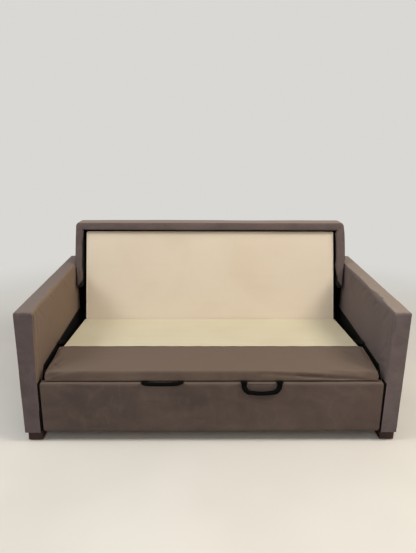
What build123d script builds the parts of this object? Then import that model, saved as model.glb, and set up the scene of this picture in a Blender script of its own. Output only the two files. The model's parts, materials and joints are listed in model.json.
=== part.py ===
from build123d import *
from math import atan2, cos, degrees, hypot, radians, sin, tan
import os

os.makedirs("parts", exist_ok=True)

# Sleeper sofa, loose cushions off, bed folded away inside it. Millimetres.
# X runs along the sofa, Y from the front to the back, Z up from the floor.
# The origin is on the floor under the middle of the whole object.

# Mattress sections, platform boards and the lean of the back
mattress_width = 1524.0
mattress_thickness = 78.0
mattress_edge = 8.0
mattress_crown = 4.0
hinge_pitch = 696.0
head_length = 679.0
lean = 16.6
bed_level = 210.0
board_thickness = 18.0
thin_board = 12.0

# Fits and skins
gap = 0.3
cover = 6.0
arm_padding = 9.0
overrun = 40.0
soft_edge = 9.0

# Arms and feet
mechanism_room = 60.0
arm_width = 83.0
arm_height = 668.0
foot_height = 56.0
foot_side = 70.0
foot_setback = 20.0
foot_edge = 3.0
glide_height = 6.0
glide_radius = 20.0
bolt_radius = 4.0
bolt_head_radius = 7.5
bolt_head_height = 6.0
bolt_grip = 40.0

# Front rail
rail_side_gap = 10.0
rail_clearance = 12.0
rail_depth = 34.0
rail_board_depth = 15.0
rail_corner = 15.0

# Hinge lines, set back from the front rail and up from its lower edge
deck_hinge_setback = 14.0
rail_hinge_setback = 62.0
rail_hinge_lift = 4.0

# Travel of the bed when it opens: forward and up
travel_forward = 600.0
travel_up = 250.0

# Seat deck
deck_box_height = 42.7
pad_rise = 39.0
pad_overhang = 17.0
pad_depth = 275.0
pad_setback = 14.0
pad_side_gap = 25.0
pad_seam_draw = 9.0
pad_side_radius = 22.0
pad_nose_drop = 22.0
deck_rail_gap = 6.0
deck_fall = 39.7
deck_panel_gap = 3.5
decking_thickness = 4.0
decking_overhang = 6.0
decking_flap = 24.0
strap_width = 50.0
strap_thickness = 1.5
strap_count = 5

# Back
top_rail_height = 42.7
top_rail_gap = 11.6
top_rail_batter = 2.0
swing_room = 40.9
wing_width = 46.5
wing_lift = 161.0
wing_proud = 30.0
back_panel_depth = 14.0
back_rear_radius = 45.0
back_corner_radius = 30.0
post_depth = 46.0
base_rail_height = 90.0
base_rail_depth = 40.0
lining_front_drop = 20.0
lining_rear_lift = 5.0
lining_thickness = 1.5
lining_setback = 64.0
lining_corner_depth = 50.0
lining_corner_height = 62.0

# Steelwork
plate_thickness = 6.0
plate_spacing = 10.0
pin_radius = 5.0
pin_head_radius = 7.5
pin_head = 2.4
boss_radius = 11.0
rail_boss_radius = 9.0
track_height = 20.0
track_thickness = 6.0
track_standoff = 16.0
track_margin = 24.0
lower_shoe_setback = 44.0
lower_shoe_lift = 26.0
upper_shoe_setback = 222.0
upper_shoe_lift = 66.0
shoe_length = 36.0
shoe_wall = 7.0
stud_radius = 8.0
tube_radius = 10.0
tube_inset = 95.0
tie_width = 40.0
tie_thickness = 5.0
tie_setback = 102.0

# Legs of the bed's foot end
leg_side = 16.0
leg_side_gap = 9.0
leg_pivot_inset = 84.0
leg_pivot_lift = 16.0
leg_floor_gap = 4.0
leg_pin_radius = 4.0
leg_tip_length = 22.0

# Pull handles
handle_x = 235.0
handle_width = 194.0
handle_drop = 64.0
handle_thickness = 4.0
handle_roll_rise = 8.0
handle_roll_round = 4.0
handle_strap = 25.0
handle_grip = 17.0
handle_corner = 34.0
handle_barrel_radius = 4.0
handle_pin_radius = 1.8
handle_stand_out = 5.0
handle_lift = 5.0
raised_handle_angle = 106.0
anchor_thickness = 2.4
anchor_depth = 26.0

# Places across the sofa, measured from its middle
mattress_half = mattress_width / 2
arm_inner_x = mattress_half + mechanism_room
arm_middle_x = arm_inner_x + arm_width / 2
rail_width = 2 * (arm_inner_x - rail_side_gap)
pad_width = 2 * (arm_inner_x - pad_side_gap)
decking_width = mattress_width + 2 * decking_overhang
track_inner_x = arm_inner_x - track_standoff
plate_inner_x = track_inner_x - plate_spacing - plate_thickness
arm_plate_inner_x = plate_inner_x - plate_spacing
leg_inner_x = mattress_half + leg_side_gap

# Heights above the floor
foot_mattress_low = bed_level + mattress_crown / 2
foot_mattress_top = foot_mattress_low + mattress_thickness
foot_board_bottom = foot_mattress_top + gap
foot_board_top = foot_board_bottom + thin_board
frame_step_z = foot_board_top + deck_box_height
seam_z = frame_step_z + pad_rise
deck_back_z = seam_z - deck_fall
pad_bottom_z = frame_step_z - pad_overhang
pad_nose_z = seam_z - pad_nose_drop
rail_top_z = pad_bottom_z - deck_rail_gap
rail_bottom_z = foot_height + rail_clearance
rail_hinge_z = rail_bottom_z + rail_hinge_lift
handle_pivot_z = rail_top_z + handle_lift
leg_pivot_z = foot_board_top + leg_pivot_lift
wing_bottom_z = seam_z + wing_lift
lining_top_front_z = seam_z - lining_front_drop
lining_top_rear_z = seam_z + lining_rear_lift
lower_shoe_z = foot_height + lower_shoe_lift
upper_shoe_z = foot_height + upper_shoe_lift
head_top_z = bed_level + head_length * cos(radians(lean))
top_rail_bottom = head_top_z + top_rail_gap
overall_height = top_rail_bottom + top_rail_height

# Depths behind the front of the arms
lean_slope = tan(radians(lean))
deck_hinge_y = rail_depth + deck_hinge_setback
head_hinge_y = deck_hinge_y + hinge_pitch
rail_hinge_y = rail_depth + rail_hinge_setback
head_thickness = mattress_thickness + gap + thin_board
head_rear = head_length * sin(radians(lean)) + head_thickness * cos(radians(lean))
back_panel_front = head_hinge_y + head_rear + swing_room
overall_depth = back_panel_front + back_panel_depth + 2 * gap
pad_front_y = pad_setback
seam_y = pad_front_y + pad_depth
deck_back_y = head_hinge_y + (deck_back_z - bed_level) * lean_slope - deck_panel_gap
lower_shoe_y = head_hinge_y - lower_shoe_setback
upper_shoe_y = head_hinge_y + upper_shoe_setback
front_tube_y = deck_hinge_y + tube_inset
rear_tube_y = head_hinge_y - tube_inset
leg_pivot_y = head_hinge_y - leg_pivot_inset
handle_pivot_y = -handle_stand_out

# The front of the arms lies half the whole depth ahead of the origin
handle_reach = (
    handle_drop * sin(radians(raised_handle_angle))
    + handle_thickness / 2 * abs(cos(radians(raised_handle_angle)))
    + handle_stand_out
)
front = -(overall_depth - handle_reach) / 2
sides = (("left", -1), ("right", 1))
base_mattress_bottom = bed_level - mattress_crown / 2 - mattress_thickness
rise_angle = degrees(atan2(travel_up, travel_forward))


def at(depth):
    """Y of a place that lies so far behind the front of the arms."""
    return front + depth


def panel_y(height):
    """Depth of the leaning mattress face at a height above the floor."""
    return head_hinge_y + (height - bed_level) * lean_slope


def deck_z(depth):
    """Height of the sloping top of the seat deck at a depth."""
    share = (depth - seam_y) / (deck_back_y - seam_y)
    return seam_z + (deck_back_z - seam_z) * share


def save(part, name):
    part.label = name
    export_step(part, f"parts/{name}.step")


def side_prism(outline, x_start, x_end, holes=()):
    """Solid with a side-view outline of (depth, height) points, drawn out
    along X, with holes given as (depth, height, radius)."""
    with BuildPart() as prism:
        with BuildSketch(Plane.YZ.offset(x_start)):
            with BuildLine():
                Polyline([(at(d), h) for d, h in outline], close=True)
            make_face()
            for d, h, radius in holes:
                with Locations((at(d), h)):
                    Circle(radius, mode=Mode.SUBTRACT)
        extrude(amount=x_end - x_start)
    return prism.part


def box_between(x_pair, y_pair, z_pair):
    """Block between two X, two depth and two height values."""
    (x0, x1), (y0, y1), (z0, z1) = x_pair, y_pair, z_pair
    return side_prism([(y0, z0), (y1, z0), (y1, z1), (y0, z1)], x0, x1)


def cross_rod(radius, x_start, x_end, depth, height):
    """Round bar along X."""
    with BuildPart() as rod:
        with BuildSketch(Plane.YZ.offset(x_start)):
            with Locations((at(depth), height)):
                Circle(radius)
        extrude(amount=x_end - x_start)
    return rod.part


def group(parts, name):
    """Several separate pieces of one kind, kept together in one node."""
    save(Compound(children=list(parts)), name)


# Arms: a board between posts and rails, a padded cover open underneath,
# and a dark cloth lining on the inner side below the upholstery
foot_places = (
    ("front", foot_setback + foot_side / 2),
    ("rear", overall_depth - foot_setback - foot_side / 2),
)
arm_hollow = arm_width - 2 * arm_padding
arm_core_inset = arm_padding + gap
arm_core_width = arm_width - 2 * arm_core_inset
arm_core_board = board_thickness
lining_x = arm_inner_x - gap
lining_inner_x = lining_x - lining_thickness
inner_reach = lining_inner_x - gap
for side, sign in sides:
    with BuildPart() as arm_cover:
        with BuildSketch(Plane.XY.offset(foot_height)):
            with Locations((sign * arm_middle_x, at(overall_depth / 2))):
                Rectangle(arm_width, overall_depth)
        extrude(amount=arm_height - foot_height)
        fillet(arm_cover.edges().filter_by(Axis.Z), soft_edge)
        fillet(arm_cover.faces().sort_by(Axis.Z)[-1].edges(), soft_edge * 2 / 3)
        with BuildSketch(Plane.XY.offset(foot_height)):
            with Locations((sign * arm_middle_x, at(overall_depth / 2))):
                Rectangle(arm_hollow, overall_depth - 2 * arm_padding)
        extrude(amount=arm_height - arm_padding - foot_height, mode=Mode.SUBTRACT)
    save(arm_cover.part, f"{side}_arm_cover")

    core_x = arm_inner_x + arm_core_inset
    core_y = (arm_core_inset, overall_depth - arm_core_inset)
    core_z = (foot_height, arm_height - arm_core_inset)
    with BuildPart() as arm_frame:
        with BuildSketch(Plane.YZ.offset(sign * core_x)):
            with Locations((at(overall_depth / 2), (core_z[0] + core_z[1]) / 2)):
                Rectangle(core_y[1] - core_y[0], core_z[1] - core_z[0])
        extrude(amount=sign * arm_core_width)
        window_depth = (core_y[1] - core_y[0] - 4 * foot_side) / 3
        window_height = core_z[1] - core_z[0] - 2 * foot_side
        recess = (arm_core_width - arm_core_board) / 2
        for face_x, amount in ((core_x, recess), (core_x + arm_core_width, -recess)):
            with BuildSketch(Plane.YZ.offset(sign * face_x)):
                with Locations((at(overall_depth / 2), (core_z[0] + core_z[1]) / 2)):
                    with GridLocations(window_depth + foot_side, 0, 3, 1):
                        Rectangle(window_depth, window_height)
            extrude(amount=sign * amount, mode=Mode.SUBTRACT)
        for place, depth in foot_places:
            with Locations((sign * arm_middle_x, at(depth), foot_height)):
                Cylinder(
                    bolt_radius + gap,
                    bolt_grip + gap,
                    align=(Align.CENTER, Align.CENTER, Align.MIN),
                    mode=Mode.SUBTRACT,
                )
    save(arm_frame.part, f"{side}_arm_frame")

    lining_outline = [
        (lining_setback, foot_height + cover),
        (overall_depth - board_thickness, foot_height + cover),
        (overall_depth - board_thickness, lining_top_rear_z),
        (lining_setback + lining_corner_depth, lining_top_front_z),
        (lining_setback, lining_top_front_z - lining_corner_height),
    ]
    lining = side_prism(lining_outline, sign * lining_x, sign * lining_inner_x)
    save(lining, f"{side}_arm_lining")

# Block feet with a glide below and a bolt up into the arm frame
glides = []
bolts = []
for side, sign in sides:
    for place, depth in foot_places:
        with BuildPart() as foot:
            with BuildSketch(Plane.XY.offset(glide_height)):
                with Locations((sign * arm_middle_x, at(depth))):
                    Rectangle(foot_side, foot_side)
            extrude(amount=foot_height - gap - glide_height)
            chamfer(foot.edges().filter_by(Axis.Z), foot_edge)
            with Locations((sign * arm_middle_x, at(depth), glide_height)):
                Cylinder(
                    bolt_head_radius + gap,
                    2 * bolt_head_height,
                    align=(Align.CENTER, Align.CENTER, Align.MIN),
                    mode=Mode.SUBTRACT,
                )
                Cylinder(
                    bolt_radius + gap,
                    foot_height,
                    align=(Align.CENTER, Align.CENTER, Align.MIN),
                    mode=Mode.SUBTRACT,
                )
        save(foot.part, f"{place}_{side}_foot")
        with BuildPart() as glide:
            with BuildSketch(Plane.XY):
                with Locations((sign * arm_middle_x, at(depth))):
                    Circle(glide_radius)
            extrude(amount=glide_height)
            fillet(glide.faces().sort_by(Axis.Z)[0].edges(), glide_height / 4)
        glides.append(glide.part)
        with BuildPart() as bolt:
            head_z = glide_height + 2 * bolt_head_height
            with BuildSketch(Plane.XY.offset(head_z - bolt_head_height)):
                with Locations((sign * arm_middle_x, at(depth))):
                    RegularPolygon(bolt_head_radius, 6)
            extrude(amount=bolt_head_height)
            with BuildSketch(Plane.XY.offset(head_z)):
                with Locations((sign * arm_middle_x, at(depth))):
                    Circle(bolt_radius)
            extrude(amount=foot_height + bolt_grip - head_z)
        bolts.append(bolt.part)
group(glides, "foot_glides")
group(bolts, "foot_bolts")

# Back: posts with the wing cores, wing covers, top rail and its cover,
# outside back board and cover, and the low rail between the arms
wing_outer_x = arm_inner_x - gap
wing_inner_x = wing_outer_x - wing_width
wing_top = top_rail_bottom - gap
wing_back = back_panel_front - gap


def wing_y(height):
    """Depth of the leaning front of a wing at a height."""
    return panel_y(height) - wing_proud / cos(radians(lean))


base_rail_back = wing_back - cover
base_rail_front = base_rail_back - base_rail_depth
base_rail_bottom = foot_height + cover
base_rail_top = base_rail_bottom + base_rail_height
for side, sign in sides:
    wing_outline = [
        (wing_y(wing_bottom_z), wing_bottom_z),
        (wing_back, wing_bottom_z),
        (wing_back, wing_top),
        (wing_y(wing_top), wing_top),
    ]
    hollow = [
        (wing_y(wing_bottom_z) + cover, wing_bottom_z),
        (wing_back - cover, wing_bottom_z),
        (wing_back - cover, wing_top),
        (wing_y(wing_top) + cover, wing_top),
    ]
    with BuildPart() as wing_cover:
        add(side_prism(wing_outline, sign * wing_inner_x, sign * wing_outer_x))
        front_edges = wing_cover.edges().filter_by(lambda e: abs(e.tangent_at(0.5).X) < 0.5)
        fillet(front_edges.group_by(Axis.Y)[0], soft_edge)
        add(
            side_prism(hollow, sign * (wing_inner_x + cover), sign * (wing_outer_x - cover)),
            mode=Mode.SUBTRACT,
        )
    save(wing_cover.part, f"{side}_wing_cover")

    post_x0 = wing_inner_x + cover + gap
    post_x1 = wing_outer_x - cover - gap
    post_front = wing_back - cover - gap - post_depth
    post_outline = [
        (wing_y(wing_bottom_z) + cover + gap, wing_bottom_z),
        (post_front, wing_bottom_z),
        (post_front, base_rail_top + gap),
        (wing_back - cover - gap, base_rail_top + gap),
        (wing_back - cover - gap, wing_top),
        (wing_y(wing_top) + cover + gap, wing_top),
    ]
    save(side_prism(post_outline, sign * post_x0, sign * post_x1), f"{side}_back_post")

rear_face = overall_depth - gap
nose = soft_edge + cover / 2
top_rail_front_y = wing_y(top_rail_bottom) + top_rail_batter
with BuildPart() as top_rail_cover:
    with BuildSketch(Plane.YZ.offset(-wing_outer_x)):
        with BuildLine():
            roof = Line(
                (at(top_rail_front_y + nose), overall_height),
                (at(rear_face - back_rear_radius), overall_height),
            )
            back_turn = JernArc(roof @ 1, (1, 0), back_rear_radius, -70)
            under = Line(back_turn @ 1, (at(rear_face), top_rail_bottom))
            below = Line(under @ 1, (at(wing_y(top_rail_bottom)), top_rail_bottom))
            face_line = Line(below @ 1, (at(top_rail_front_y), overall_height - nose))
            RadiusArc(face_line @ 1, roof @ 0, nose)
        make_face()
    extrude(amount=2 * wing_outer_x)
    with BuildSketch(Plane.XZ.offset(-at(overall_depth))) as front_view:
        with Locations((0, overall_height - top_rail_height)):
            Rectangle(2 * wing_outer_x, 2 * top_rail_height)
        fillet(front_view.vertices().group_by(Axis.Y)[-1], back_corner_radius)
    extrude(amount=overall_depth, mode=Mode.INTERSECT)
    with BuildSketch(Plane.XY.offset(top_rail_bottom)):
        with Locations((0, at((top_rail_front_y + rear_face) / 2))):
            Rectangle(
                2 * (wing_outer_x - back_corner_radius),
                rear_face - top_rail_front_y - 2 * back_corner_radius,
            )
    extrude(amount=top_rail_height - cover, mode=Mode.SUBTRACT)
save(top_rail_cover.part, "top_rail_cover")

with BuildPart() as top_rail:
    with BuildSketch(Plane.XY.offset(top_rail_bottom)):
        with Locations((0, at((top_rail_front_y + rear_face) / 2))):
            Rectangle(
                2 * (wing_outer_x - back_corner_radius - gap),
                rear_face - top_rail_front_y - 2 * (back_corner_radius + gap),
            )
    extrude(amount=top_rail_height - cover - gap)
save(top_rail.part, "top_rail")

back_cloth = decking_thickness
back_board_depth = back_panel_depth - gap - back_cloth
board_half = wing_outer_x - back_cloth - gap
board_top = top_rail_bottom - 2 * gap - back_cloth
back_board = box_between(
    (-board_half, board_half),
    (back_panel_front, back_panel_front + back_board_depth),
    (base_rail_bottom, board_top),
)
save(back_board, "outside_back_board")
with BuildPart() as back_cover:
    add(
        box_between(
            (-wing_outer_x, wing_outer_x),
            (back_panel_front, rear_face),
            (base_rail_bottom, top_rail_bottom - gap),
        )
    )
    add(
        box_between(
            (-board_half - gap, board_half + gap),
            (back_panel_front - overrun, back_panel_front + back_board_depth + gap),
            (base_rail_bottom - overrun, board_top + gap),
        ),
        mode=Mode.SUBTRACT,
    )
save(back_cover.part, "outside_back_cover")

base_rail = box_between(
    (-inner_reach, inner_reach),
    (base_rail_front, base_rail_back),
    (base_rail_bottom, base_rail_top),
)
save(base_rail, "rear_base_rail")

tie_reach = arm_middle_x
tie_bar = box_between(
    (-tie_reach, tie_reach),
    (tie_setback, tie_setback + tie_width),
    (foot_height - gap - tie_thickness, foot_height - gap),
)
save(tie_bar, "front_tie_bar")


# Sloping steel tracks on the arms, one pair a side, with welded studs
def along(depth, height, run, lift=0.0):
    """Place on a sloping track: run goes forward and up from a start, and
    lift is square to the track."""
    c, s = cos(radians(rise_angle)), sin(radians(rise_angle))
    return (depth - run * c + lift * s, height + run * s + lift * c)


travel = hypot(travel_forward, travel_up)
track_starts = ((lower_shoe_y, lower_shoe_z), (upper_shoe_y, upper_shoe_z))
track_outer_x = track_inner_x + track_thickness
stud_outer_x = inner_reach
stud_shares = (0.06, 0.5, 0.94)
for side, sign in sides:
    bars = []
    for depth, height in track_starts:
        half = track_height / 2
        outline = [
            along(depth, height, -track_margin, -half),
            along(depth, height, travel + track_margin, -half),
            along(depth, height, travel + track_margin, half),
            along(depth, height, -track_margin, half),
        ]
        with BuildPart() as track:
            add(side_prism(outline, sign * track_inner_x, sign * track_outer_x))
            for share in stud_shares:
                stud_y, stud_z = along(depth, height, travel * share)
                add(cross_rod(stud_radius, sign * track_outer_x, sign * stud_outer_x, stud_y, stud_z))
        bars.append(track.part)
    group(bars, f"{side}_tracks")

# Bed base: side plates with hinge ears, cross tubes, platform, mattress,
# shoes that grip the tracks, and the hinge pins
plate_outer_x = plate_inner_x + plate_thickness
deck_hinge = (deck_hinge_y, bed_level)
head_hinge = (head_hinge_y, bed_level)
rail_hinge = (rail_hinge_y, rail_hinge_z)
hinges = (deck_hinge, head_hinge, rail_hinge)
platform_top = base_mattress_bottom - gap
platform_bottom = platform_top - board_thickness
tube_z = platform_bottom - gap - tube_radius
platform_front = deck_hinge_y + 2 * strap_thickness
platform_back = head_hinge_y - 2 * strap_thickness
plate_low_z = tube_z
plate_high_z = bed_level - board_thickness - cover
ear = boss_radius
rail_ear = rail_boss_radius
tail = upper_shoe_y + shoe_length / 2
heel = lower_shoe_y + shoe_length / 2
plate_outline = [
    (deck_hinge_y - ear, bed_level - ear),
    (deck_hinge_y - ear, bed_level + ear),
    (deck_hinge_y + ear, bed_level + ear),
    (deck_hinge_y + 3 * ear, plate_high_z),
    (head_hinge_y - 3 * ear, plate_high_z),
    (head_hinge_y - ear, bed_level + ear),
    (head_hinge_y + ear, bed_level + ear),
    (head_hinge_y + 3 * ear, plate_high_z - ear),
    (tail, upper_shoe_z + ear),
    (tail, upper_shoe_z - ear),
    (head_hinge_y + ear, upper_shoe_z - 2 * ear),
    (heel, lower_shoe_z - ear),
    (heel - shoe_length, lower_shoe_z - ear),
    (heel - 2 * shoe_length, plate_low_z),
    (rail_hinge_y + 3 * rail_ear, plate_low_z),
    (rail_hinge_y + rail_ear, rail_hinge_z - rail_ear),
    (rail_hinge_y - rail_ear, rail_hinge_z - rail_ear),
    (rail_hinge_y - rail_ear, plate_low_z + rail_ear),
    (deck_hinge_y + ear, platform_bottom + ear),
]
pin_hole = pin_radius + gap
plate_holes = [(y, z, pin_hole) for y, z in hinges]
for side, sign in sides:
    plate = side_prism(plate_outline, sign * plate_inner_x, sign * plate_outer_x, plate_holes)
    save(plate, f"{side}_side_plate")

tubes = []
for depth in (front_tube_y, rear_tube_y):
    end_x = plate_inner_x - gap
    tubes.append(cross_rod(tube_radius, -end_x, end_x, depth, tube_z))
group(tubes, "base_cross_tubes")

platform = box_between(
    (-mattress_half, mattress_half),
    (platform_front, platform_back),
    (platform_bottom, platform_top),
)
save(platform, "base_platform")


def mattress(plane, length, name):
    """Mattress section on a plane at its hidden face: X across, local Y along
    it, thickness outwards, with a crown on the outer face."""
    with BuildPart() as body:
        with BuildSketch(plane):
            with Locations((0, length / 2)):
                Rectangle(mattress_width, length)
        extrude(amount=mattress_thickness)
        side_plane = Plane(
            origin=plane.from_local_coords((-mattress_half, 0, 0)),
            x_dir=plane.y_dir,
            z_dir=plane.x_dir,
        )
        with BuildSketch(side_plane):
            with BuildLine():
                low = mattress_thickness - mattress_crown
                base = Polyline((0, low), (0, 0), (length, 0), (length, low))
                ThreePointArc(base @ 0, (length / 2, mattress_thickness), base @ 1)
            make_face()
        extrude(amount=mattress_width, mode=Mode.INTERSECT)
        outer_edges = body.edges().filter_by(
            lambda e: plane.to_local_coords(e.center()).Z > mattress_thickness / 2
        )
        fillet(outer_edges.filter_by(lambda e: e.length > mattress_thickness), mattress_edge)
    save(body.part, name)


section_length = platform_back - platform_front
base_plane = Plane(
    origin=(0, at(platform_front), base_mattress_bottom), x_dir=(1, 0, 0), z_dir=(0, 0, 1)
)
mattress(base_plane, section_length, "base_mattress")

shoe_inner_x = plate_outer_x
shoe_outer_x = track_outer_x + gap * 2
shoes = []
for side, sign in sides:
    for depth, height in track_starts:
        half_shoe = track_height / 2 + shoe_wall
        half_slot = track_height / 2 + gap
        length = shoe_length / 2
        body = [
            along(depth, height, -length, -half_shoe),
            along(depth, height, length, -half_shoe),
            along(depth, height, length, half_shoe),
            along(depth, height, -length, half_shoe),
        ]
        slot = [
            along(depth, height, -2 * length, -half_slot),
            along(depth, height, 2 * length, -half_slot),
            along(depth, height, 2 * length, half_slot),
            along(depth, height, -2 * length, half_slot),
        ]
        with BuildPart() as shoe:
            add(side_prism(body, sign * shoe_inner_x, sign * shoe_outer_x))
            slot_x = track_inner_x - gap
            add(side_prism(slot, sign * slot_x, sign * (shoe_outer_x + overrun)), mode=Mode.SUBTRACT)
        shoes.append(shoe.part)
group(shoes, "glide_shoes")

pins = []
pin_inner_x = arm_plate_inner_x - gap
pin_outer_x = plate_outer_x + gap
for side, sign in sides:
    for depth, height in hinges:
        with BuildPart() as pin:
            add(cross_rod(pin_radius, sign * pin_inner_x, sign * pin_outer_x, depth, height))
            for head_x, head_sign in ((pin_inner_x, -1), (pin_outer_x, 1)):
                head_end = head_x + head_sign * pin_head
                add(cross_rod(pin_head_radius, sign * head_x, sign * head_end, depth, height))
        pins.append(pin.part)
group(pins, "hinge_pins")

# Seat deck, the folded foot end of the bed: mattress face down, platform,
# side and cross rails, webbing, cloth decking and the padded front
foot_plane = Plane(
    origin=(0, at(platform_back), foot_mattress_top), x_dir=(1, 0, 0), z_dir=(0, 0, -1)
)
mattress(foot_plane, section_length, "foot_mattress")
foot_platform = box_between(
    (-mattress_half, mattress_half),
    (platform_front, platform_back),
    (foot_board_bottom, foot_board_top),
)
save(foot_platform, "foot_platform")

rail_low = foot_board_top + gap
strap_top_drop = decking_thickness + gap
rail_drop = strap_top_drop + strap_thickness
deck_rail_back = deck_back_y - decking_thickness * 4
deck_rail_outline = [
    (platform_front, rail_low),
    (deck_rail_back, rail_low),
    (deck_rail_back, deck_z(deck_rail_back) - rail_drop),
    (seam_y - cover, deck_z(seam_y - cover) - rail_drop),
    (seam_y - cover, frame_step_z),
    (platform_front, frame_step_z),
]
for side, sign in sides:
    rail = side_prism(
        deck_rail_outline,
        sign * (mattress_half - board_thickness),
        sign * mattress_half,
    )
    save(rail, f"{side}_deck_rail")

inner_half = mattress_half - board_thickness - gap
cross_rails = []
for depth, top in (
    (platform_front, frame_step_z),
    (seam_y - cover - board_thickness, frame_step_z),
    (deck_rail_back - board_thickness, deck_z(deck_rail_back) - rail_drop - strap_thickness),
):
    cross_rails.append(
        box_between((-inner_half, inner_half), (depth, depth + board_thickness), (rail_low, top))
    )
group(cross_rails, "deck_cross_rails")

straps = []
strap_first = seam_y + strap_width
strap_last = deck_rail_back - strap_width
for number in range(strap_count):
    depth = strap_first + (strap_last - strap_first) * number / (strap_count - 1)
    half = strap_width / 2
    outline = [
        (depth - half, deck_z(depth - half) - rail_drop),
        (depth + half, deck_z(depth + half) - rail_drop),
        (depth + half, deck_z(depth + half) - rail_drop + strap_thickness),
        (depth - half, deck_z(depth - half) - rail_drop + strap_thickness),
    ]
    straps.append(side_prism(outline, -mattress_half, mattress_half))
group(straps, "deck_webbing")

decking_half = decking_width / 2
decking_front = seam_y + gap
flap_set = decking_flap * lean_slope
decking_outline = [
    (decking_front, deck_z(decking_front)),
    (deck_back_y, deck_z(deck_back_y)),
    (deck_back_y - flap_set, deck_z(deck_back_y) - decking_flap),
    (deck_back_y - flap_set - decking_thickness, deck_z(deck_back_y) - decking_flap),
    (deck_back_y - decking_thickness, deck_z(deck_back_y) - decking_thickness),
    (decking_front, deck_z(decking_front) - decking_thickness),
]
flap_outline = [
    (decking_front, deck_z(decking_front)),
    (deck_back_y, deck_z(deck_back_y)),
    (deck_back_y - flap_set, deck_z(deck_back_y) - decking_flap),
    (decking_front, deck_z(decking_front) - decking_flap),
]
with BuildPart() as decking:
    add(side_prism(decking_outline, -decking_half, decking_half))
    for side, sign in sides:
        add(side_prism(flap_outline, sign * (mattress_half + gap), sign * decking_half))
    fillet(decking.edges().filter_by(Axis.X).group_by(Axis.Y)[-1][-1], decking_thickness / 2)
save(decking.part, "rear_decking")

pad_half = pad_width / 2
with BuildPart() as front_pad:
    with BuildSketch(Plane.YZ.offset(-pad_half)):
        with BuildLine():
            nose_low = (at(pad_front_y + cover), pad_bottom_z)
            heel_point = (at(platform_front - gap), pad_bottom_z)
            step = Polyline(
                nose_low,
                heel_point,
                (at(platform_front - gap), frame_step_z + gap),
                (at(seam_y - cover - gap), frame_step_z + gap),
                (at(seam_y - cover - gap), deck_z(seam_y) - decking_thickness),
                (at(seam_y), deck_z(seam_y) - decking_thickness),
                (at(seam_y), deck_z(seam_y) - 2 * gap),
            )
            crown_y = pad_front_y + (seam_y - pad_front_y) * 0.4
            ThreePointArc(
                step @ 1,
                (at(crown_y), seam_z + mattress_crown / 4),
                (at(pad_front_y + pad_side_radius), pad_nose_z + cover),
            )
            ThreePointArc(
                (at(pad_front_y + pad_side_radius), pad_nose_z + cover),
                (at(pad_front_y), (pad_nose_z + pad_bottom_z) / 2 + cover),
                nose_low,
            )
        make_face()
    extrude(amount=pad_width)
    with BuildSketch(Plane.XZ.offset(-at(seam_y))) as pad_front_view:
        with Locations((0, seam_z / 2 + mattress_crown / 4)):
            Rectangle(pad_width, seam_z)
        fillet(pad_front_view.vertices().group_by(Axis.Y)[-1], pad_side_radius)
    extrude(amount=seam_y, mode=Mode.INTERSECT)
    with BuildSketch(Plane.XY):
        with BuildLine():
            Polyline(
                (-pad_half, at(pad_front_y)),
                (pad_half, at(pad_front_y)),
                (pad_half, at(crown_y)),
                (pad_half - pad_seam_draw, at(seam_y)),
                (pad_seam_draw - pad_half, at(seam_y)),
                (-pad_half, at(crown_y)),
                close=True,
            )
        make_face()
    extrude(amount=2 * seam_z, mode=Mode.INTERSECT)
save(front_pad.part, "front_pad")

# Hinge arms that carry the seat deck on its pins: a plate with an ear, and a
# block that stands it off the deck rail
arm_plate_outer_x = arm_plate_inner_x + plate_thickness
deck_arm_outline = [
    (deck_hinge_y - ear, bed_level - ear),
    (deck_hinge_y + ear, bed_level - ear),
    (deck_hinge_y + 3 * ear, rail_low),
    (deck_hinge_y + 7 * ear, rail_low),
    (deck_hinge_y + 7 * ear, rail_low + 2.5 * ear),
    (deck_hinge_y + ear / 2, rail_low + 2.5 * ear),
    (deck_hinge_y - ear, bed_level + ear),
]
block_outline = [
    (deck_hinge_y + 3 * ear, rail_low + gap),
    (deck_hinge_y + 6 * ear, rail_low + gap),
    (deck_hinge_y + 6 * ear, rail_low + 2 * ear),
    (deck_hinge_y + 3 * ear, rail_low + 2 * ear),
]
for side, sign in sides:
    with BuildPart() as deck_arm:
        add(
            side_prism(
                deck_arm_outline,
                sign * arm_plate_inner_x,
                sign * arm_plate_outer_x,
                [(deck_hinge_y, bed_level, pin_hole)],
            )
        )
        add(side_prism(block_outline, sign * (mattress_half + gap), sign * arm_plate_inner_x))
    save(deck_arm.part, f"{side}_deck_hinge")

# Head section: leaning mattress and its board, with hinge plates below
head_plane = Plane(
    origin=(0, at(head_hinge_y), bed_level),
    x_dir=(1, 0, 0),
    z_dir=(0, -cos(radians(lean)), sin(radians(lean))),
)
mattress(head_plane.offset(-mattress_thickness), head_length, "head_mattress")
with BuildPart() as head_board:
    with BuildSketch(head_plane.offset(-mattress_thickness - gap)):
        with Locations((0, head_length / 2)):
            Rectangle(mattress_width, head_length - 2 * soft_edge)
    extrude(amount=-thin_board)
save(head_board.part, "head_platform")


def on_head(along_head, behind):
    """Depth and height of a place on the head section."""
    a, c, s = along_head, cos(radians(lean)), sin(radians(lean))
    return (head_hinge_y + a * s + behind * c, bed_level + a * c - behind * s)


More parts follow.
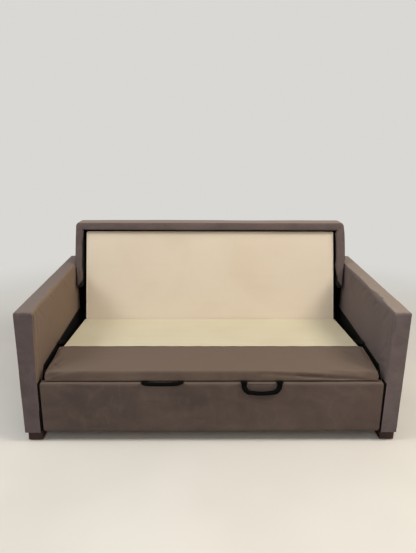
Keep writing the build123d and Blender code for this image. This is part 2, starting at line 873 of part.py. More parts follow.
head_back = mattress_thickness + gap + thin_board
head_plate_outline = [
    on_head(-ear, -ear),
    on_head(ear, -ear),
    on_head(3 * ear, head_back - 4 * ear),
    on_head(head_length / 3, head_back - 2 * ear),
    on_head(head_length / 3, head_back + gap + plate_thickness),
    on_head(2 * ear, head_back + gap + plate_thickness),
    on_head(-ear, ear),
]
flange_outline = [
    on_head(2 * ear, head_back + gap),
    on_head(head_length / 3, head_back + gap),
    on_head(head_length / 3, head_back + gap + plate_thickness),
    on_head(2 * ear, head_back + gap + plate_thickness),
]
flange_reach = 8 * ear
for side, sign in sides:
    with BuildPart() as head_arm:
        add(
            side_prism(
                head_plate_outline,
                sign * arm_plate_inner_x,
                sign * arm_plate_outer_x,
                [(head_hinge_y, bed_level, pin_hole)],
            )
        )
        flange_x = arm_plate_inner_x - flange_reach
        add(side_prism(flange_outline, sign * flange_x, sign * arm_plate_outer_x))
    save(head_arm.part, f"{side}_head_hinge")

# Front rail: padded cover open at the back, board inside it, hinge plates
# and the webbing anchors of the pull handles
rail_half = rail_width / 2
rail_pad = rail_depth - rail_board_depth - gap
rail_middle_z = (rail_top_z + rail_bottom_z) / 2
rail_height = rail_top_z - rail_bottom_z
with BuildPart() as rail_cover:
    with BuildSketch(Plane.XZ.offset(-at(rail_depth))):
        with Locations((0, rail_middle_z)):
            Rectangle(rail_width, rail_height)
    extrude(amount=rail_depth)
    fillet(rail_cover.faces().sort_by(Axis.Y)[0].edges(), rail_corner)
    with BuildSketch(Plane.XZ.offset(-at(rail_depth))):
        with Locations((0, rail_middle_z)):
            Rectangle(rail_width - 2 * cover, rail_height - 2 * cover)
    extrude(amount=rail_depth - rail_pad, mode=Mode.SUBTRACT)
save(rail_cover.part, "front_rail_cover")

board_inset = cover + gap
rail_board = box_between(
    (-rail_half + board_inset, rail_half - board_inset),
    (rail_depth - rail_board_depth, rail_depth),
    (rail_bottom_z + board_inset, rail_top_z - board_inset),
)
save(rail_board, "front_rail_board")

rail_back = rail_depth + gap
rail_arm_low = rail_hinge_z - rail_ear
rail_arm_outline = [
    (rail_back, rail_arm_low + rail_ear),
    (rail_hinge_y - rail_ear, rail_arm_low),
    (rail_hinge_y + rail_ear, rail_arm_low),
    (rail_hinge_y + rail_ear, rail_arm_low + 2 * rail_ear),
    (rail_back + plate_thickness, rail_arm_low + 4 * rail_ear),
    (rail_back, rail_arm_low + 4 * rail_ear),
]
rail_flange_outline = [
    (rail_back, rail_bottom_z + board_inset),
    (rail_back + plate_thickness, rail_bottom_z + board_inset),
    (rail_back + plate_thickness, rail_middle_z),
    (rail_back, rail_middle_z),
]
for side, sign in sides:
    with BuildPart() as rail_arm:
        add(
            side_prism(
                rail_arm_outline,
                sign * arm_plate_inner_x,
                sign * arm_plate_outer_x,
                [(rail_hinge_y, rail_hinge_z, pin_hole)],
            )
        )
        flange_x = arm_plate_inner_x - 4 * ear
        add(side_prism(rail_flange_outline, sign * flange_x, sign * arm_plate_outer_x))
    save(rail_arm.part, f"{side}_rail_hinge")

strap_x = handle_width / 2 - handle_strap / 2
anchor_low = rail_top_z + gap
anchors = []
ear_width = cover / 2
barrel_half = handle_strap / 2
for side, sign in sides:
    for end in (-1, 1):
        middle = sign * handle_x + end * strap_x
        with BuildPart() as anchor:
            reach = barrel_half + gap + ear_width
            tab = [
                (handle_pivot_y + handle_barrel_radius + gap, anchor_low),
                (anchor_depth, anchor_low),
                (anchor_depth, anchor_low + anchor_thickness),
                (handle_pivot_y + handle_barrel_radius + gap, anchor_low + anchor_thickness),
            ]
            add(side_prism(tab, middle - reach, middle + reach))
            for lug in (-1, 1):
                lug_x = middle + lug * (barrel_half + gap)
                lug_end = lug_x + lug * ear_width
                lug_outline = [
                    (handle_pivot_y, handle_pivot_z - handle_barrel_radius),
                    (handle_pivot_y + handle_barrel_radius * 2, anchor_low),
                    (handle_pivot_y + handle_barrel_radius * 2, anchor_low + anchor_thickness),
                    (handle_pivot_y, handle_pivot_z + handle_barrel_radius),
                ]
                add(side_prism(lug_outline, lug_x, lug_end))
                add(cross_rod(handle_barrel_radius, lug_x, lug_end, handle_pivot_y, handle_pivot_z))
            add(cross_rod(handle_pin_radius, middle - reach, middle + reach, handle_pivot_y, handle_pivot_z))
        anchors.append(anchor.part)
group(anchors, "handle_anchors")

# Pull handles: loops with flat straps and a padded grip that swing on the
# anchor pins, the left one raised and the right one hanging
for (side, sign), raised in zip(sides, (raised_handle_angle, 0.0)):
    pivot_x = sign * handle_x
    swing = Plane(
        origin=(pivot_x, at(handle_pivot_y), handle_pivot_z),
        x_dir=(1, 0, 0),
        z_dir=(0, -cos(radians(raised)), sin(radians(raised))),
    )
    inner_drop = handle_drop - handle_grip
    with BuildPart() as handle:
        with BuildSketch(swing.offset(-handle_thickness / 2)) as loop:
            with Locations((0, -handle_drop / 2)):
                Rectangle(handle_width, handle_drop)
            fillet(loop.vertices().group_by(Axis.Y)[0], handle_corner)
            with Locations((0, -inner_drop / 2)):
                Rectangle(handle_width - 2 * handle_strap, inner_drop, mode=Mode.SUBTRACT)
            hole_corners = loop.vertices().filter_by(
                lambda v: abs(v.Y + inner_drop) < gap
            )
            fillet(hole_corners, handle_corner - handle_grip)
        extrude(amount=handle_thickness + handle_roll_rise)
        roll_top = handle.faces().sort_by(Axis((0, 0, 0), swing.z_dir))[-1]
        fillet(roll_top.edges(), handle_roll_round)
        strap_drop = handle_drop - handle_corner
        with BuildSketch(swing.offset(handle_thickness / 2)):
            with Locations((0, overrun - strap_drop / 2)):
                Rectangle(handle_width + 2 * overrun, strap_drop + 2 * overrun)
        extrude(amount=handle_roll_rise + overrun, mode=Mode.SUBTRACT)
        for end in (-1, 1):
            middle = pivot_x + end * strap_x
            barrel = (middle - barrel_half, middle + barrel_half)
            add(cross_rod(handle_barrel_radius, *barrel, handle_pivot_y, handle_pivot_z))
        for end in (-1, 1):
            middle = pivot_x + end * strap_x
            bore = (middle - barrel_half - overrun, middle + barrel_half + overrun)
            add(
                cross_rod(handle_pin_radius + gap, *bore, handle_pivot_y, handle_pivot_z),
                mode=Mode.SUBTRACT,
            )
    save(handle.part, f"{side}_handle")

# Legs of the foot end, folded along the sides of the deck, with their pivot
# brackets on the deck rails and a rubber tip on each
open_pivot_z = 2 * bed_level - leg_pivot_z + travel_up
leg_length = open_pivot_z - leg_floor_gap
leg_half = leg_side / 2
leg_outer_x = leg_inner_x + leg_side
leg_end = leg_pivot_y - leg_length
brackets = []
for side, sign in sides:
    with BuildPart() as bracket:
        bracket_outline = [
            (leg_pivot_y - leg_side, rail_low + gap),
            (leg_pivot_y + leg_side, rail_low + gap),
            (leg_pivot_y + leg_side, leg_pivot_z + leg_half),
            (leg_pivot_y - leg_side, leg_pivot_z + leg_half),
        ]
        bracket_x = mattress_half + gap
        bracket_end = bracket_x + cover
        add(side_prism(bracket_outline, sign * bracket_x, sign * bracket_end))
        pin_end = leg_outer_x + gap
        add(cross_rod(leg_pin_radius, sign * bracket_end, sign * pin_end, leg_pivot_y, leg_pivot_z))
        head_end = pin_end + pin_head / 2
        add(cross_rod(leg_half, sign * pin_end, sign * head_end, leg_pivot_y, leg_pivot_z))
    brackets.append(bracket.part)

    with BuildPart() as leg:
        leg_outline = [
            (leg_pivot_y, leg_pivot_z - leg_half),
            (leg_pivot_y, leg_pivot_z + leg_half),
            (leg_end + leg_tip_length, leg_pivot_z + leg_half),
            (leg_end + leg_tip_length, leg_pivot_z - leg_half),
        ]
        add(side_prism(leg_outline, sign * leg_inner_x, sign * leg_outer_x))
        add(cross_rod(leg_half, sign * leg_inner_x, sign * leg_outer_x, leg_pivot_y, leg_pivot_z))
        hole_x = (sign * (leg_inner_x - overrun), sign * (leg_outer_x + overrun))
        add(
            cross_rod(leg_pin_radius + gap, *hole_x, leg_pivot_y, leg_pivot_z),
            mode=Mode.SUBTRACT,
        )
    save(leg.part, f"{side}_leg")
    tip = box_between(
        (sign * leg_inner_x, sign * leg_outer_x),
        (leg_end, leg_end + leg_tip_length - gap),
        (leg_pivot_z - leg_half, leg_pivot_z + leg_half),
    )
    save(tip, f"{side}_leg_tip")
group(brackets, "leg_brackets")
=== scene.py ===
import json
import math

import bpy
import numpy as np
from mathutils import Matrix, Vector


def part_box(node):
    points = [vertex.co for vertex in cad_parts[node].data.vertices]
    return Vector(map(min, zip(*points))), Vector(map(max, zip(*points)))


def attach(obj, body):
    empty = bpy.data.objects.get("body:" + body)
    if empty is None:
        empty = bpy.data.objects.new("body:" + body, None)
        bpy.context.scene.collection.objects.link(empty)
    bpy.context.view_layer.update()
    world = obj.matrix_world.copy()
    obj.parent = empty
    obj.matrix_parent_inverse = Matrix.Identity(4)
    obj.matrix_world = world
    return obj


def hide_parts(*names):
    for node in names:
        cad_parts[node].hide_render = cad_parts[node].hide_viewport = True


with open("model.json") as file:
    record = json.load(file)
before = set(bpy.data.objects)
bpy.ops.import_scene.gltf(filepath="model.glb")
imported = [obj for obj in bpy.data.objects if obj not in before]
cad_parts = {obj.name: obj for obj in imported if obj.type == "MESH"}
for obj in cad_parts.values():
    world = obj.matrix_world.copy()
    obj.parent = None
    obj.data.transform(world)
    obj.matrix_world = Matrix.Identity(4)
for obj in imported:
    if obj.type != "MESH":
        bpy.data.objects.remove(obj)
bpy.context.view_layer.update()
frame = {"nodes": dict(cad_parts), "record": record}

rng = np.random.default_rng(7)
MM = 0.001
SIDES = (("left", -1), ("right", 1))

# Camera, at the photograph's place and angle
ARM_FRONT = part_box("left_arm_cover")[0].y
CAMERA_PLACE = (-0.0439, ARM_FRONT - 2.1795, 1.4865)
CAMERA_PITCH, CAMERA_YAW, CAMERA_ROLL = (math.radians(a) for a in (16.3685, 0.5756, 0.2258))
CAMERA_LENS, CAMERA_SENSOR = 33.39, 36


def make_camera():
    cp, sp = math.cos(CAMERA_PITCH), math.sin(CAMERA_PITCH)
    cy, sy = math.cos(CAMERA_YAW), math.sin(CAMERA_YAW)
    cr, sr = math.cos(CAMERA_ROLL), math.sin(CAMERA_ROLL)
    forward = Vector((sy * cp, cy * cp, -sp))
    right = Vector((cy, -sy, 0))
    up = right.cross(forward)
    data = bpy.data.cameras.new("camera")
    data.lens, data.sensor_width = CAMERA_LENS, CAMERA_SENSOR
    data.clip_start, data.clip_end = 0.05, 60
    camera = bpy.data.objects.new("camera", data)
    bpy.context.scene.collection.objects.link(camera)
    axes = Matrix((right * cr + up * sr, up * cr - right * sr, -forward)).transposed()
    camera.matrix_world = Matrix.Translation(CAMERA_PLACE) @ axes.to_4x4()
    bpy.context.scene.camera = camera


make_camera()


# Materials
def rgb(text):
    """Linear colour of a hex colour."""
    parts = [int(text[i : i + 2], 16) / 255 for i in (0, 2, 4)]
    return (*[p / 12.92 if p <= 0.04045 else ((p + 0.055) / 1.055) ** 2.4 for p in parts], 1)


class Nodes:
    """Short ways to add nodes to a tree."""

    def __init__(self, tree):
        self.tree = tree

    def add(self, kind, **settings):
        node = self.tree.nodes.new(kind)
        for key, value in settings.items():
            setattr(node, key, value)
        return node

    def feed(self, socket, value):
        """Gives an input a link, a number or a hex colour."""
        if isinstance(value, bpy.types.NodeSocket):
            self.tree.links.new(value, socket)
        else:
            socket.default_value = rgb(value) if isinstance(value, str) else value

    def fill(self, node, **values):
        """Feeds inputs by name, with underscores for spaces."""
        for name, value in values.items():
            self.feed(node.inputs[name.replace("_", " ")], value)
        return node

    def math(self, operation, a, b=0.0, c=0.0):
        node = self.add("ShaderNodeMath", operation=operation)
        for socket, value in zip(node.inputs, (a, b, c)):
            self.feed(socket, value)
        return node.outputs[0]

    def backdrop_rays(self):
        """1 where a ray shows the backdrop: seen straight, in a mirror or through glass."""
        ray = self.add("ShaderNodeLightPath").outputs
        seen = self.math("MAXIMUM", ray["Is Camera Ray"], ray["Is Glossy Ray"])
        return self.math("MAXIMUM", seen, ray["Is Transmission Ray"])

    def blend(self, share, first, second, output):
        """Two shaders, mixed into the tree's output."""
        both = self.add("ShaderNodeMixShader")
        for socket, value in zip(both.inputs, (share, first, second)):
            self.feed(socket, value)
        self.feed(self.tree.nodes[output].inputs["Surface"], both.outputs[0])


class Finish(Nodes):
    """A material, its main shader and its textures."""

    def __init__(self, name, roughness, metallic=0.0, **sockets):
        self.mat = bpy.data.materials.new(name)
        self.mat.use_nodes = True
        super().__init__(self.mat.node_tree)
        self.shader = self.tree.nodes["Principled BSDF"]
        self.fill(self.shader, Roughness=roughness, Metallic=metallic, **sockets)
        coords = self.add("ShaderNodeTexCoord").outputs
        self.place, self.normal = coords["Object"], coords["Normal"]

    def stretch(self, scale, turn=(0, 0, 0)):
        node = self.add("ShaderNodeMapping")
        return self.fill(node, Vector=self.place, Scale=scale, Rotation=turn).outputs[0]

    def noise(self, scale, detail=3.0, roughness=0.5, distortion=0.0, at=None):
        node = self.add("ShaderNodeTexNoise")
        self.fill(node, Vector=at or self.place, Scale=scale, Detail=detail)
        return self.fill(node, Roughness=roughness, Distortion=distortion).outputs["Fac"]

    def ramp(self, value, low, high, to_low=0.0, to_high=1.0):
        """Smooth step of a value between two limits."""
        node = self.add("ShaderNodeMapRange", interpolation_type="SMOOTHSTEP")
        self.fill(node, Value=value, From_Min=low, From_Max=high, To_Min=to_low, To_Max=to_high)
        return node.outputs["Result"]

    def mix(self, share, under, over):
        node = self.add("ShaderNodeMix", data_type="RGBA", blend_type="MIX")
        self.fill(node, Factor=share)
        self.feed(node.inputs[6], under)
        self.feed(node.inputs[7], over)
        return node.outputs[2]

    def tint(self, under, over, value, *limits):
        """One colour laid over another, with the ramp of a value as its share."""
        return self.mix(self.ramp(value, *limits), under, over)

    def rubbed(self, tone, light, low, high, most):
        """A lighter tone on worn outer edges."""
        wear = self.ramp(self.add("ShaderNodeNewGeometry").outputs["Pointiness"], low, high)
        return self.mix(self.math("MULTIPLY", wear, most), tone, light)

    def split(self, vector):
        node = self.add("ShaderNodeSeparateXYZ")
        self.feed(node.inputs[0], vector)
        return node.outputs

    def threads(self, pitch):
        """Crossing threads on every face of a piece, from 0 to 1, without UVs."""
        places, facing = self.split(self.place), self.split(self.normal)
        turns = 2 * math.pi / pitch
        x, y, z = (self.math("SINE", self.math("MULTIPLY", s, turns)) for s in places)
        nx, ny, nz = (self.math("POWER", self.math("ABSOLUTE", s), 2.0) for s in facing)
        total = None
        for a, b, weight in ((x, y, nz), (x, z, ny), (y, z, nx)):
            term = self.math("MULTIPLY", self.math("MULTIPLY", a, b), weight)
            total = term if total is None else self.math("ADD", total, term)
        return self.math("MULTIPLY_ADD", total, 0.5, 0.5)

    def finish(self, colour, roughness=None, bumps=()):
        self.fill(self.shader, Base_Color=colour)
        if roughness is not None:
            self.fill(self.shader, Roughness=roughness)
        carrier = None
        for height, distance, strength in bumps:
            node = self.add("ShaderNodeBump")
            self.fill(node, Height=height, Distance=distance, Strength=strength)
            if carrier is not None:
                self.fill(node, Normal=carrier.outputs[0])
            carrier = node
        if carrier is not None:
            self.fill(self.shader, Normal=carrier.outputs[0])
        return self.mat


def velvet(name, dark, mid, light, strokes, up, painted_light_plus_x=None, painted_light_minus_x=None, crisp=False):
    """Brushed microfibre: nap in soft patches, with painted light: a lighter up colour on upward
    faces, and a side colour on faces turned along x.
    """
    f = Finish(
        name, 0.84, Sheen_Weight=0.30, Sheen_Roughness=0.42, Specular_IOR_Level=0.15,
        Sheen_Tint=light,
    )
    drift = f.noise(1.3, 2.0, 0.5, 0.6)
    marks = f.noise(4.6, 3.0, 0.6, 1.0, at=f.stretch((1.0, 1.0, 1.6), (0.2, 0.5, 0.35)))
    swipes = f.noise(11.0, 2.0, 0.5, 1.6, at=f.stretch((1.0, 0.8, 0.6), (0.6, 0.1, 0.8)))
    fine = f.noise(420, 2.0, 0.6)
    tone = f.tint(dark, mid, marks, 0.34, 0.68, 0.30, 1.0)
    tone = f.tint(tone, light, drift, 0.40, 0.70, 0.0, 0.22)
    tone = f.tint(tone, dark, swipes, 0.54, 0.64, 0.0, 0.16 * strokes)
    tone = f.tint(tone, light, swipes, 0.34, 0.44, 0.12 * strokes, 0.0)
    # Painted light: upward faces take the up colour, and the chosen inner side takes its side
    # colour, standing in for how the lamps fall on tops and sides.
    x, _, z = f.split(f.normal)
    low, high = (0.84, 0.975) if crisp else (0.35, 0.95)
    tone = f.tint(tone, up, z, low, high, 0.0, 0.62)
    for way, colour, most in ((1.0, painted_light_plus_x, 0.68), (-1.0, painted_light_minus_x, 0.50)):
        if colour is not None:
            side = f.math("MULTIPLY", x, way)
            shoulder = f.math("MULTIPLY_ADD", f.math("MAXIMUM", z, 0.0), 0.6, side)
            painted_side_share = f.math("MULTIPLY", f.ramp(shoulder, 0.80, 0.985), f.ramp(side, 0.15, 0.30))
            tone = f.mix(f.math("MULTIPLY", painted_side_share, most), tone, colour)
    tone = f.tint(tone, light, fine, 0.35, 0.70, 0.0, 0.12)
    tone = f.rubbed(tone, light, 0.51, 0.60, 0.30)
    rough = f.ramp(marks, 0.35, 0.65, 0.78, 0.92)
    return f.finish(tone, rough, [(f.noise(60, 3.0), 0.0006, 0.30), (fine, 0.0004, 0.5)])


def cloth(name, base, shade, thread, pitch, slub=0.2):
    """Plain woven cloth with uneven threads and slight soiling."""
    f = Finish(name, 0.88, Sheen_Weight=0.08, Specular_IOR_Level=0.2)
    weave = f.threads(pitch)
    soil = f.noise(2.3, 3.0, 0.5, 0.5)
    slubs = f.noise(26, 3.0, 0.6, at=f.stretch((0.12, 1.0, 1.0)))
    tone = f.tint(base, shade, soil, 0.42, 0.70, 0.0, 0.5)
    tone = f.tint(tone, thread, slubs, 0.50, 0.70, 0.0, slub)
    tone = f.tint(tone, thread, weave, 0.2, 0.8, 0.10, 0.0)
    rough = f.ramp(soil, 0.3, 0.7, 0.84, 0.93)
    return f.finish(tone, rough, [(weave, 0.0005, 0.6), (slubs, 0.0004, 0.3)])


def lining_cloth(name):
    """Black spun dust cloth with its pressed dots."""
    f = Finish(name, 0.88, Specular_IOR_Level=0.12)
    dots = f.fill(f.add("ShaderNodeTexVoronoi"), Vector=f.place, Scale=260)
    press = f.ramp(dots.outputs["Distance"], 0.15, 0.4)
    fibre = f.noise(90, 4.0, 0.65)
    tone = f.tint("060606", "0e0d0b", fibre, 0.35, 0.7)
    tone = f.tint(tone, "040404", press, 0.0, 1.0, 0.3, 0.0)
    rough = f.ramp(fibre, 0.3, 0.7, 0.72, 0.9)
    return f.finish(tone, rough, [(press, 0.0003, 0.5), (fibre, 0.0004, 0.3)])


def wood(name, light, dark, along, roughness, ring=70.0, pores=0.5):
    """Wood with grain along one axis, pores and rubbed edges."""
    f = Finish(name, roughness, Specular_IOR_Level=0.35)
    grain = f.stretch(tuple(0.06 if axis == along else 1.0 for axis in range(3)))
    rings = f.noise(ring * 0.35, 3.0, 0.6, 1.2, at=grain)
    lines = f.noise(ring * 4, 2.0, 0.7, 0.3, at=grain)
    tone = f.tint(dark, light, rings, 0.35, 0.65)
    tone = f.tint(tone, dark, lines, 0.52, 0.68, 0.0, pores)
    tone = f.rubbed(tone, light, 0.52, 0.62, 0.3)
    rough = f.ramp(lines, 0.4, 0.7, roughness - 0.06, roughness + 0.12)
    return f.finish(tone, rough, [(lines, 0.0005, 0.35), (rings, 0.0006, 0.2)])


def plywood(name):
    """Birch ply: calm figured faces and glued layers on the edges."""
    f = Finish(name, 0.62, Specular_IOR_Level=0.3)
    figure = f.noise(6, 4.0, 0.55, 1.0, at=f.stretch((0.25, 1.0, 1.0)))
    lines = f.noise(160, 2.0, 0.6, at=f.stretch((0.05, 1.0, 1.0)))
    layers = f.threads(0.0045)
    tone = f.tint("c9a677", "a8804f", figure, 0.35, 0.7)
    tone = f.tint(tone, "7a5530", lines, 0.5, 0.7, 0.0, 0.35)
    tone = f.tint(tone, "5f4126", layers, 0.3, 0.7, 0.16, 0.0)
    return f.finish(tone, f.ramp(lines, 0.4, 0.7, 0.55, 0.72), [(lines, 0.0004, 0.3)])


def metal(name, light, dark, roughness, metallic):
    """Rolled or painted steel with mill marks and rubbed edges."""
    f = Finish(name, roughness, metallic, Specular_IOR_Level=0.5 if metallic else 0.2)
    mill = f.noise(140, 3.0, 0.6, at=f.stretch((0.15, 1.0, 1.0)))
    cloud = f.noise(9, 3.0, 0.5, 0.8)
    tone = f.tint(dark, light, cloud, 0.35, 0.7)
    tone = f.tint(tone, dark, mill, 0.5, 0.75, 0.0, 0.35)
    tone = f.rubbed(tone, light, 0.52, 0.6, 0.5)
    rough = f.ramp(mill, 0.3, 0.7, roughness - 0.07, roughness + 0.12)
    return f.finish(tone, rough, [(mill, 0.0002, 0.3)])


def moulded(name, light, dark, roughness):
    """Moulded nylon or rubber: fine sparked texture and scuffs."""
    f = Finish(name, roughness, Specular_IOR_Level=0.4)
    spark = f.noise(700, 2.0, 0.6)
    scuff = f.noise(30, 4.0, 0.7, 1.5)
    tone = f.tint(dark, light, scuff, 0.45, 0.7, 0.0, 0.6)
    tone = f.tint(tone, light, spark, 0.4, 0.6, 0.0, 0.15)
    rough = f.ramp(scuff, 0.3, 0.7, roughness - 0.08, roughness + 0.12)
    return f.finish(tone, rough, [(spark, 0.0002, 0.4)])


def webbing(name, base, rib, pitch):
    """Narrow woven webbing with a herringbone rib."""
    f = Finish(name, 0.6, Specular_IOR_Level=0.04)
    weave = f.threads(pitch)
    wear = f.noise(40, 3.0, 0.6)
    tone = f.tint(base, rib, weave, 0.2, 0.8, 0.5, 0.0)
    tone = f.tint(tone, rib, wear, 0.55, 0.75, 0.0, 0.3)
    return f.finish(tone, f.ramp(wear, 0.3, 0.7, 0.5, 0.72), [(weave, 0.0006, 0.7)])


# Painted light: each arm has its own copy of the nap, with its own lighter colour on the top and a
# painted side colour on the inner face.
ARM_NAP_PAINTED_LIGHT = {
    "left": velvet(
        "left_arm_nap_painted_light", "473d3e", "584d4d", "766963", 1.0, "7d7068", painted_light_plus_x="86705a", crisp=True
    ),
    "right": velvet(
        "right_arm_nap_painted_light", "4d4343", "605555", "7c6f6a", 1.0, "988a7b", painted_light_minus_x="6c5f5b", crisp=True
    ),
}
# Painted light: the up colour of each of these naps lightens its upward faces.
UPHOLSTERY = velvet("back_nap", "493e3c", "5b4e4b", "786a65", 0.8, "988779", crisp=True)
RAIL_NAP = velvet("rail_nap", "433836", "544741", "6d5f55", 1.0, "685a4f")
DECK_CLOTH = velvet("deck_nap", "4a3d37", "57493f", "6b5c51", 0.5, "716155")
WELT = velvet("welt_nap", "54483f", "665849", "86766a", 0.4, "8f7f70")
TICKING = cloth("ticking", "d1c3af", "c8b8a1", "bcab92", 0.0016, slub=0.07)
DECKING = cloth("decking_weave", "cfc5a9", "c5ba9b", "b5aa8a", 0.0022, slub=0.08)
TAPE = cloth("edge_tape", "e2d6c4", "d6c8b2", "cbbca3", 0.0012)
THREAD = cloth("sewing_thread", "6e6058", "5a4e48", "8a7c72", 0.0008)
LINING = lining_cloth("black_lining")
HANDLE = webbing("handle_webbing", "020202", "0a0a0a", 0.0024)
STRAP = webbing("deck_strap", "141414", "2c2b29", 0.003)
FRAME_WOOD = wood("pine", "c8a878", "a07e50", 0, 0.66)
FOOT_WOOD = wood("stained_foot", "34170e", "180906", 2, 0.6, 55.0, 0.4)
PLY = plywood("birch_ply")
ZINC = metal("zinc_plate", "b6b8ba", "8b8e90", 0.34, 1.0)
BLACK_STEEL = metal("black_enamel", "0e0e0f", "050506", 0.65, 0.0)
# Painted shade: the back posts and back board are made black, so that what shows of them in the
# deep gaps beside the wings and panel is as dark as the shade there.
POST_WOOD = wood("black_post_painted_shade", "0c0b0a", "050404", 2, 0.8)
DARK_WOOD = ("left_back_post", "right_back_post", "outside_back_board")
NYLON = moulded("nylon", "2c2c2c", "161616", 0.5)
RUBBER = moulded("rubber", "1c1c1c", "0c0c0c", 0.75)


# Mesh making
def node_points(name):
    """Corners of a solid of the frame."""
    return np.array([v.co for v in frame["nodes"][name].data.vertices])


def cuts(low, high, step, ease=0.0, extra=()):
    """Places to cut a side: even steps, closer at rounded ends and seams."""
    places = []
    if ease > 0:
        turns = [ease * math.tan(math.radians(a)) for a in (0, 9, 18, 27, 36, 45)]
        places += [low + ease - t for t in turns] + [high - ease + t for t in turns]
    inner_low, inner_high = low + ease, high - ease
    count = max(1, round((inner_high - inner_low) / step))
    places += list(np.linspace(inner_low, inner_high, count + 1))
    for place in extra:
        places += [place + d * MM for d in (-4, -2, -1, 0, 1, 2, 4)]
    places = sorted(p for p in places if low - 1e-9 <= p <= high + 1e-9)
    kept = [places[0]]
    for place in places[1:]:
        if place - kept[-1] > 0.4 * MM:
            kept.append(place)
    kept[-1] = high
    return np.array(kept)


def block_grid(xs, ys, zs, open_faces=()):
    """Surface of a block cut at the given places: points and quads."""
    sizes = [len(a) - 1 for a in (xs, ys, zs)]
    index, points, faces = {}, [], []

    def point(i, j, k):
        if (i, j, k) not in index:
            index[i, j, k] = len(points)
            points.append((xs[i], ys[j], zs[k]))
        return index[i, j, k]

    for axis in range(3):
        a, b = [n for n in range(3) if n != axis]
        for end in (0, 1):
            if (axis, end) in open_faces:
                continue
            for i in range(sizes[a]):
                for j in range(sizes[b]):
                    corners = []
                    for di, dj in ((0, 0), (1, 0), (1, 1), (0, 1)):
                        key = [0, 0, 0]
                        key[axis] = sizes[axis] * end
                        key[a], key[b] = i + di, j + dj
                        corners.append(point(*key))
                    if (end == 1) == (axis == 1):
                        corners.reverse()
                    faces.append(corners)
    return np.array(points), faces


def round_block(points, low, high, radii_low, radii_high):
    """Moves a block's surface points onto one with rounded edges."""
    low, high = np.array(low), np.array(high)
    rl, rh = np.array(radii_low, float), np.array(radii_high, float)
    core = np.clip(points, low + rl, high - rh)
    out = points - core
    radii = np.where(out < 0, np.maximum(rl, 1e-9), np.maximum(rh, 1e-9))
    unit = out / radii
    length = np.linalg.norm(unit, axis=1, keepdims=True)
    safe = np.where(length > 0.5, length, 1.0)
    return np.where(length > 0.5, core + unit / safe * radii, points)


def normals_of(points, faces):
    """Outward unit normals of the points of a quad mesh."""
    quads = np.array(faces)
    a, b, c, d = (points[quads[:, i]] for i in range(4))
    area = np.cross(c - a, d - b)
    normals = np.zeros_like(points)
    for i in range(4):
        np.add.at(normals, quads[:, i], area)
    return normals / np.maximum(np.linalg.norm(normals, axis=1, keepdims=True), 1e-12)


def ripple(points, scale, seed, octaves=3):
    """Smooth even noise from -1 to 1 at some points, scale in cycles a metre."""
    local = np.random.default_rng(seed)
    total = np.zeros(len(points))
    weight = 0
    for octave in range(octaves):
        for _ in range(5):
            way = local.normal(size=3)
            way *= scale * 2**octave * 2 * math.pi / np.linalg.norm(way)
            total += np.sin(points @ way + local.uniform(0, 6.28)) / 2**octave
        weight += 5 / 2**octave
    return total / weight * 1.6


def crease(points, shift, start, end, width, depth):
    """Adds a fold along a line to the points' outward shift, sizes in mm."""
    a, b = np.array(start, float), np.array(end, float)
    width, depth = width * MM, depth * MM
    way = b - a
    t = np.clip((points - a) @ way / (way @ way), 0, 1)
    away = np.linalg.norm(points - (a + t[:, None] * way), axis=1)
    taper = np.sin(np.pi * np.clip(0.12 + t * 0.88, 0, 1)) ** 0.7
    shift -= depth * np.exp(-((away / width) ** 2)) * taper
    shift += 0.55 * depth * np.exp(-(((away - 1.9 * width) / width) ** 2)) * taper


def bell(distance, width):
    """1 at no distance, falling smoothly to nought over a width."""
    return np.exp(-((distance / width) ** 2))


def make_mesh(name, points, faces, material):
    mesh = bpy.data.meshes.new(name)
    mesh.from_pydata([tuple(p) for p in points], [], [tuple(f) for f in faces])
    mesh.update()
    obj = bpy.data.objects.new(name, mesh)
    bpy.context.scene.collection.objects.link(obj)
    mesh.materials.append(material)
    mesh.shade_smooth()
    return obj


def dress(obj, body, replaced=()):
    """Puts a piece on its body and what it replaces."""
    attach(obj, body)
    if replaced:
        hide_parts(*replaced)


def apply_modifiers(obj):
    graph = bpy.context.evaluated_depsgraph_get()
    mesh = bpy.data.meshes.new_from_object(obj.evaluated_get(graph))
    old = obj.data
    obj.modifiers.clear()
    obj.data = mesh
    bpy.data.meshes.remove(old)
    obj.data.shade_smooth()


def thicken(obj, thickness):
    """Gives a sheet its thickness, away from its outer side."""
    obj.modifiers.new("thickness", "SOLIDIFY").thickness = thickness
    apply_modifiers(obj)


def per_vertex(obj, name):
    """Places or normals of a mesh's points."""
    flat = np.zeros(len(obj.data.vertices) * 3)
    obj.data.vertices.foreach_get(name, flat)
    return flat.reshape(-1, 3)


def put_coordinates(obj, co):
    obj.data.vertices.foreach_set("co", np.asarray(co, float).ravel())
    obj.data.update()


def turned(faces):
    return [tuple(reversed(f)) for f in faces]


def grid_quads(rows, columns, ring=False, loop=False, flip=False, first=0):
    """Quads over rows of points; a ring closes the rows, a loop joins the last to the first."""
    quads = []
    for i in range(rows if loop else rows - 1):
        here, there = first + i * columns, first + (i + 1) % rows * columns
        for k in range(columns if ring else columns - 1):
            m = (k + 1) % columns
            corners = (here + k, here + m, there + m, there + k)
            quads.append((corners[0], *corners[:0:-1]) if flip else corners)
    return quads


def rod_faces(rows, sides, first=0):
    """Quads round a rod of some rows of points, and its two ends."""
    last = first + (rows - 1) * sides
    ends = [tuple(range(first + sides - 1, first - 1, -1)), tuple(range(last, last + sides))]
    return grid_quads(rows, sides, ring=True, first=first) + ends


def circle(count):
    """Cosines and sines of even steps round a circle."""
    turns = [2 * math.pi * k / count for k in range(count)]
    return [(math.cos(turn), math.sin(turn)) for turn in turns]


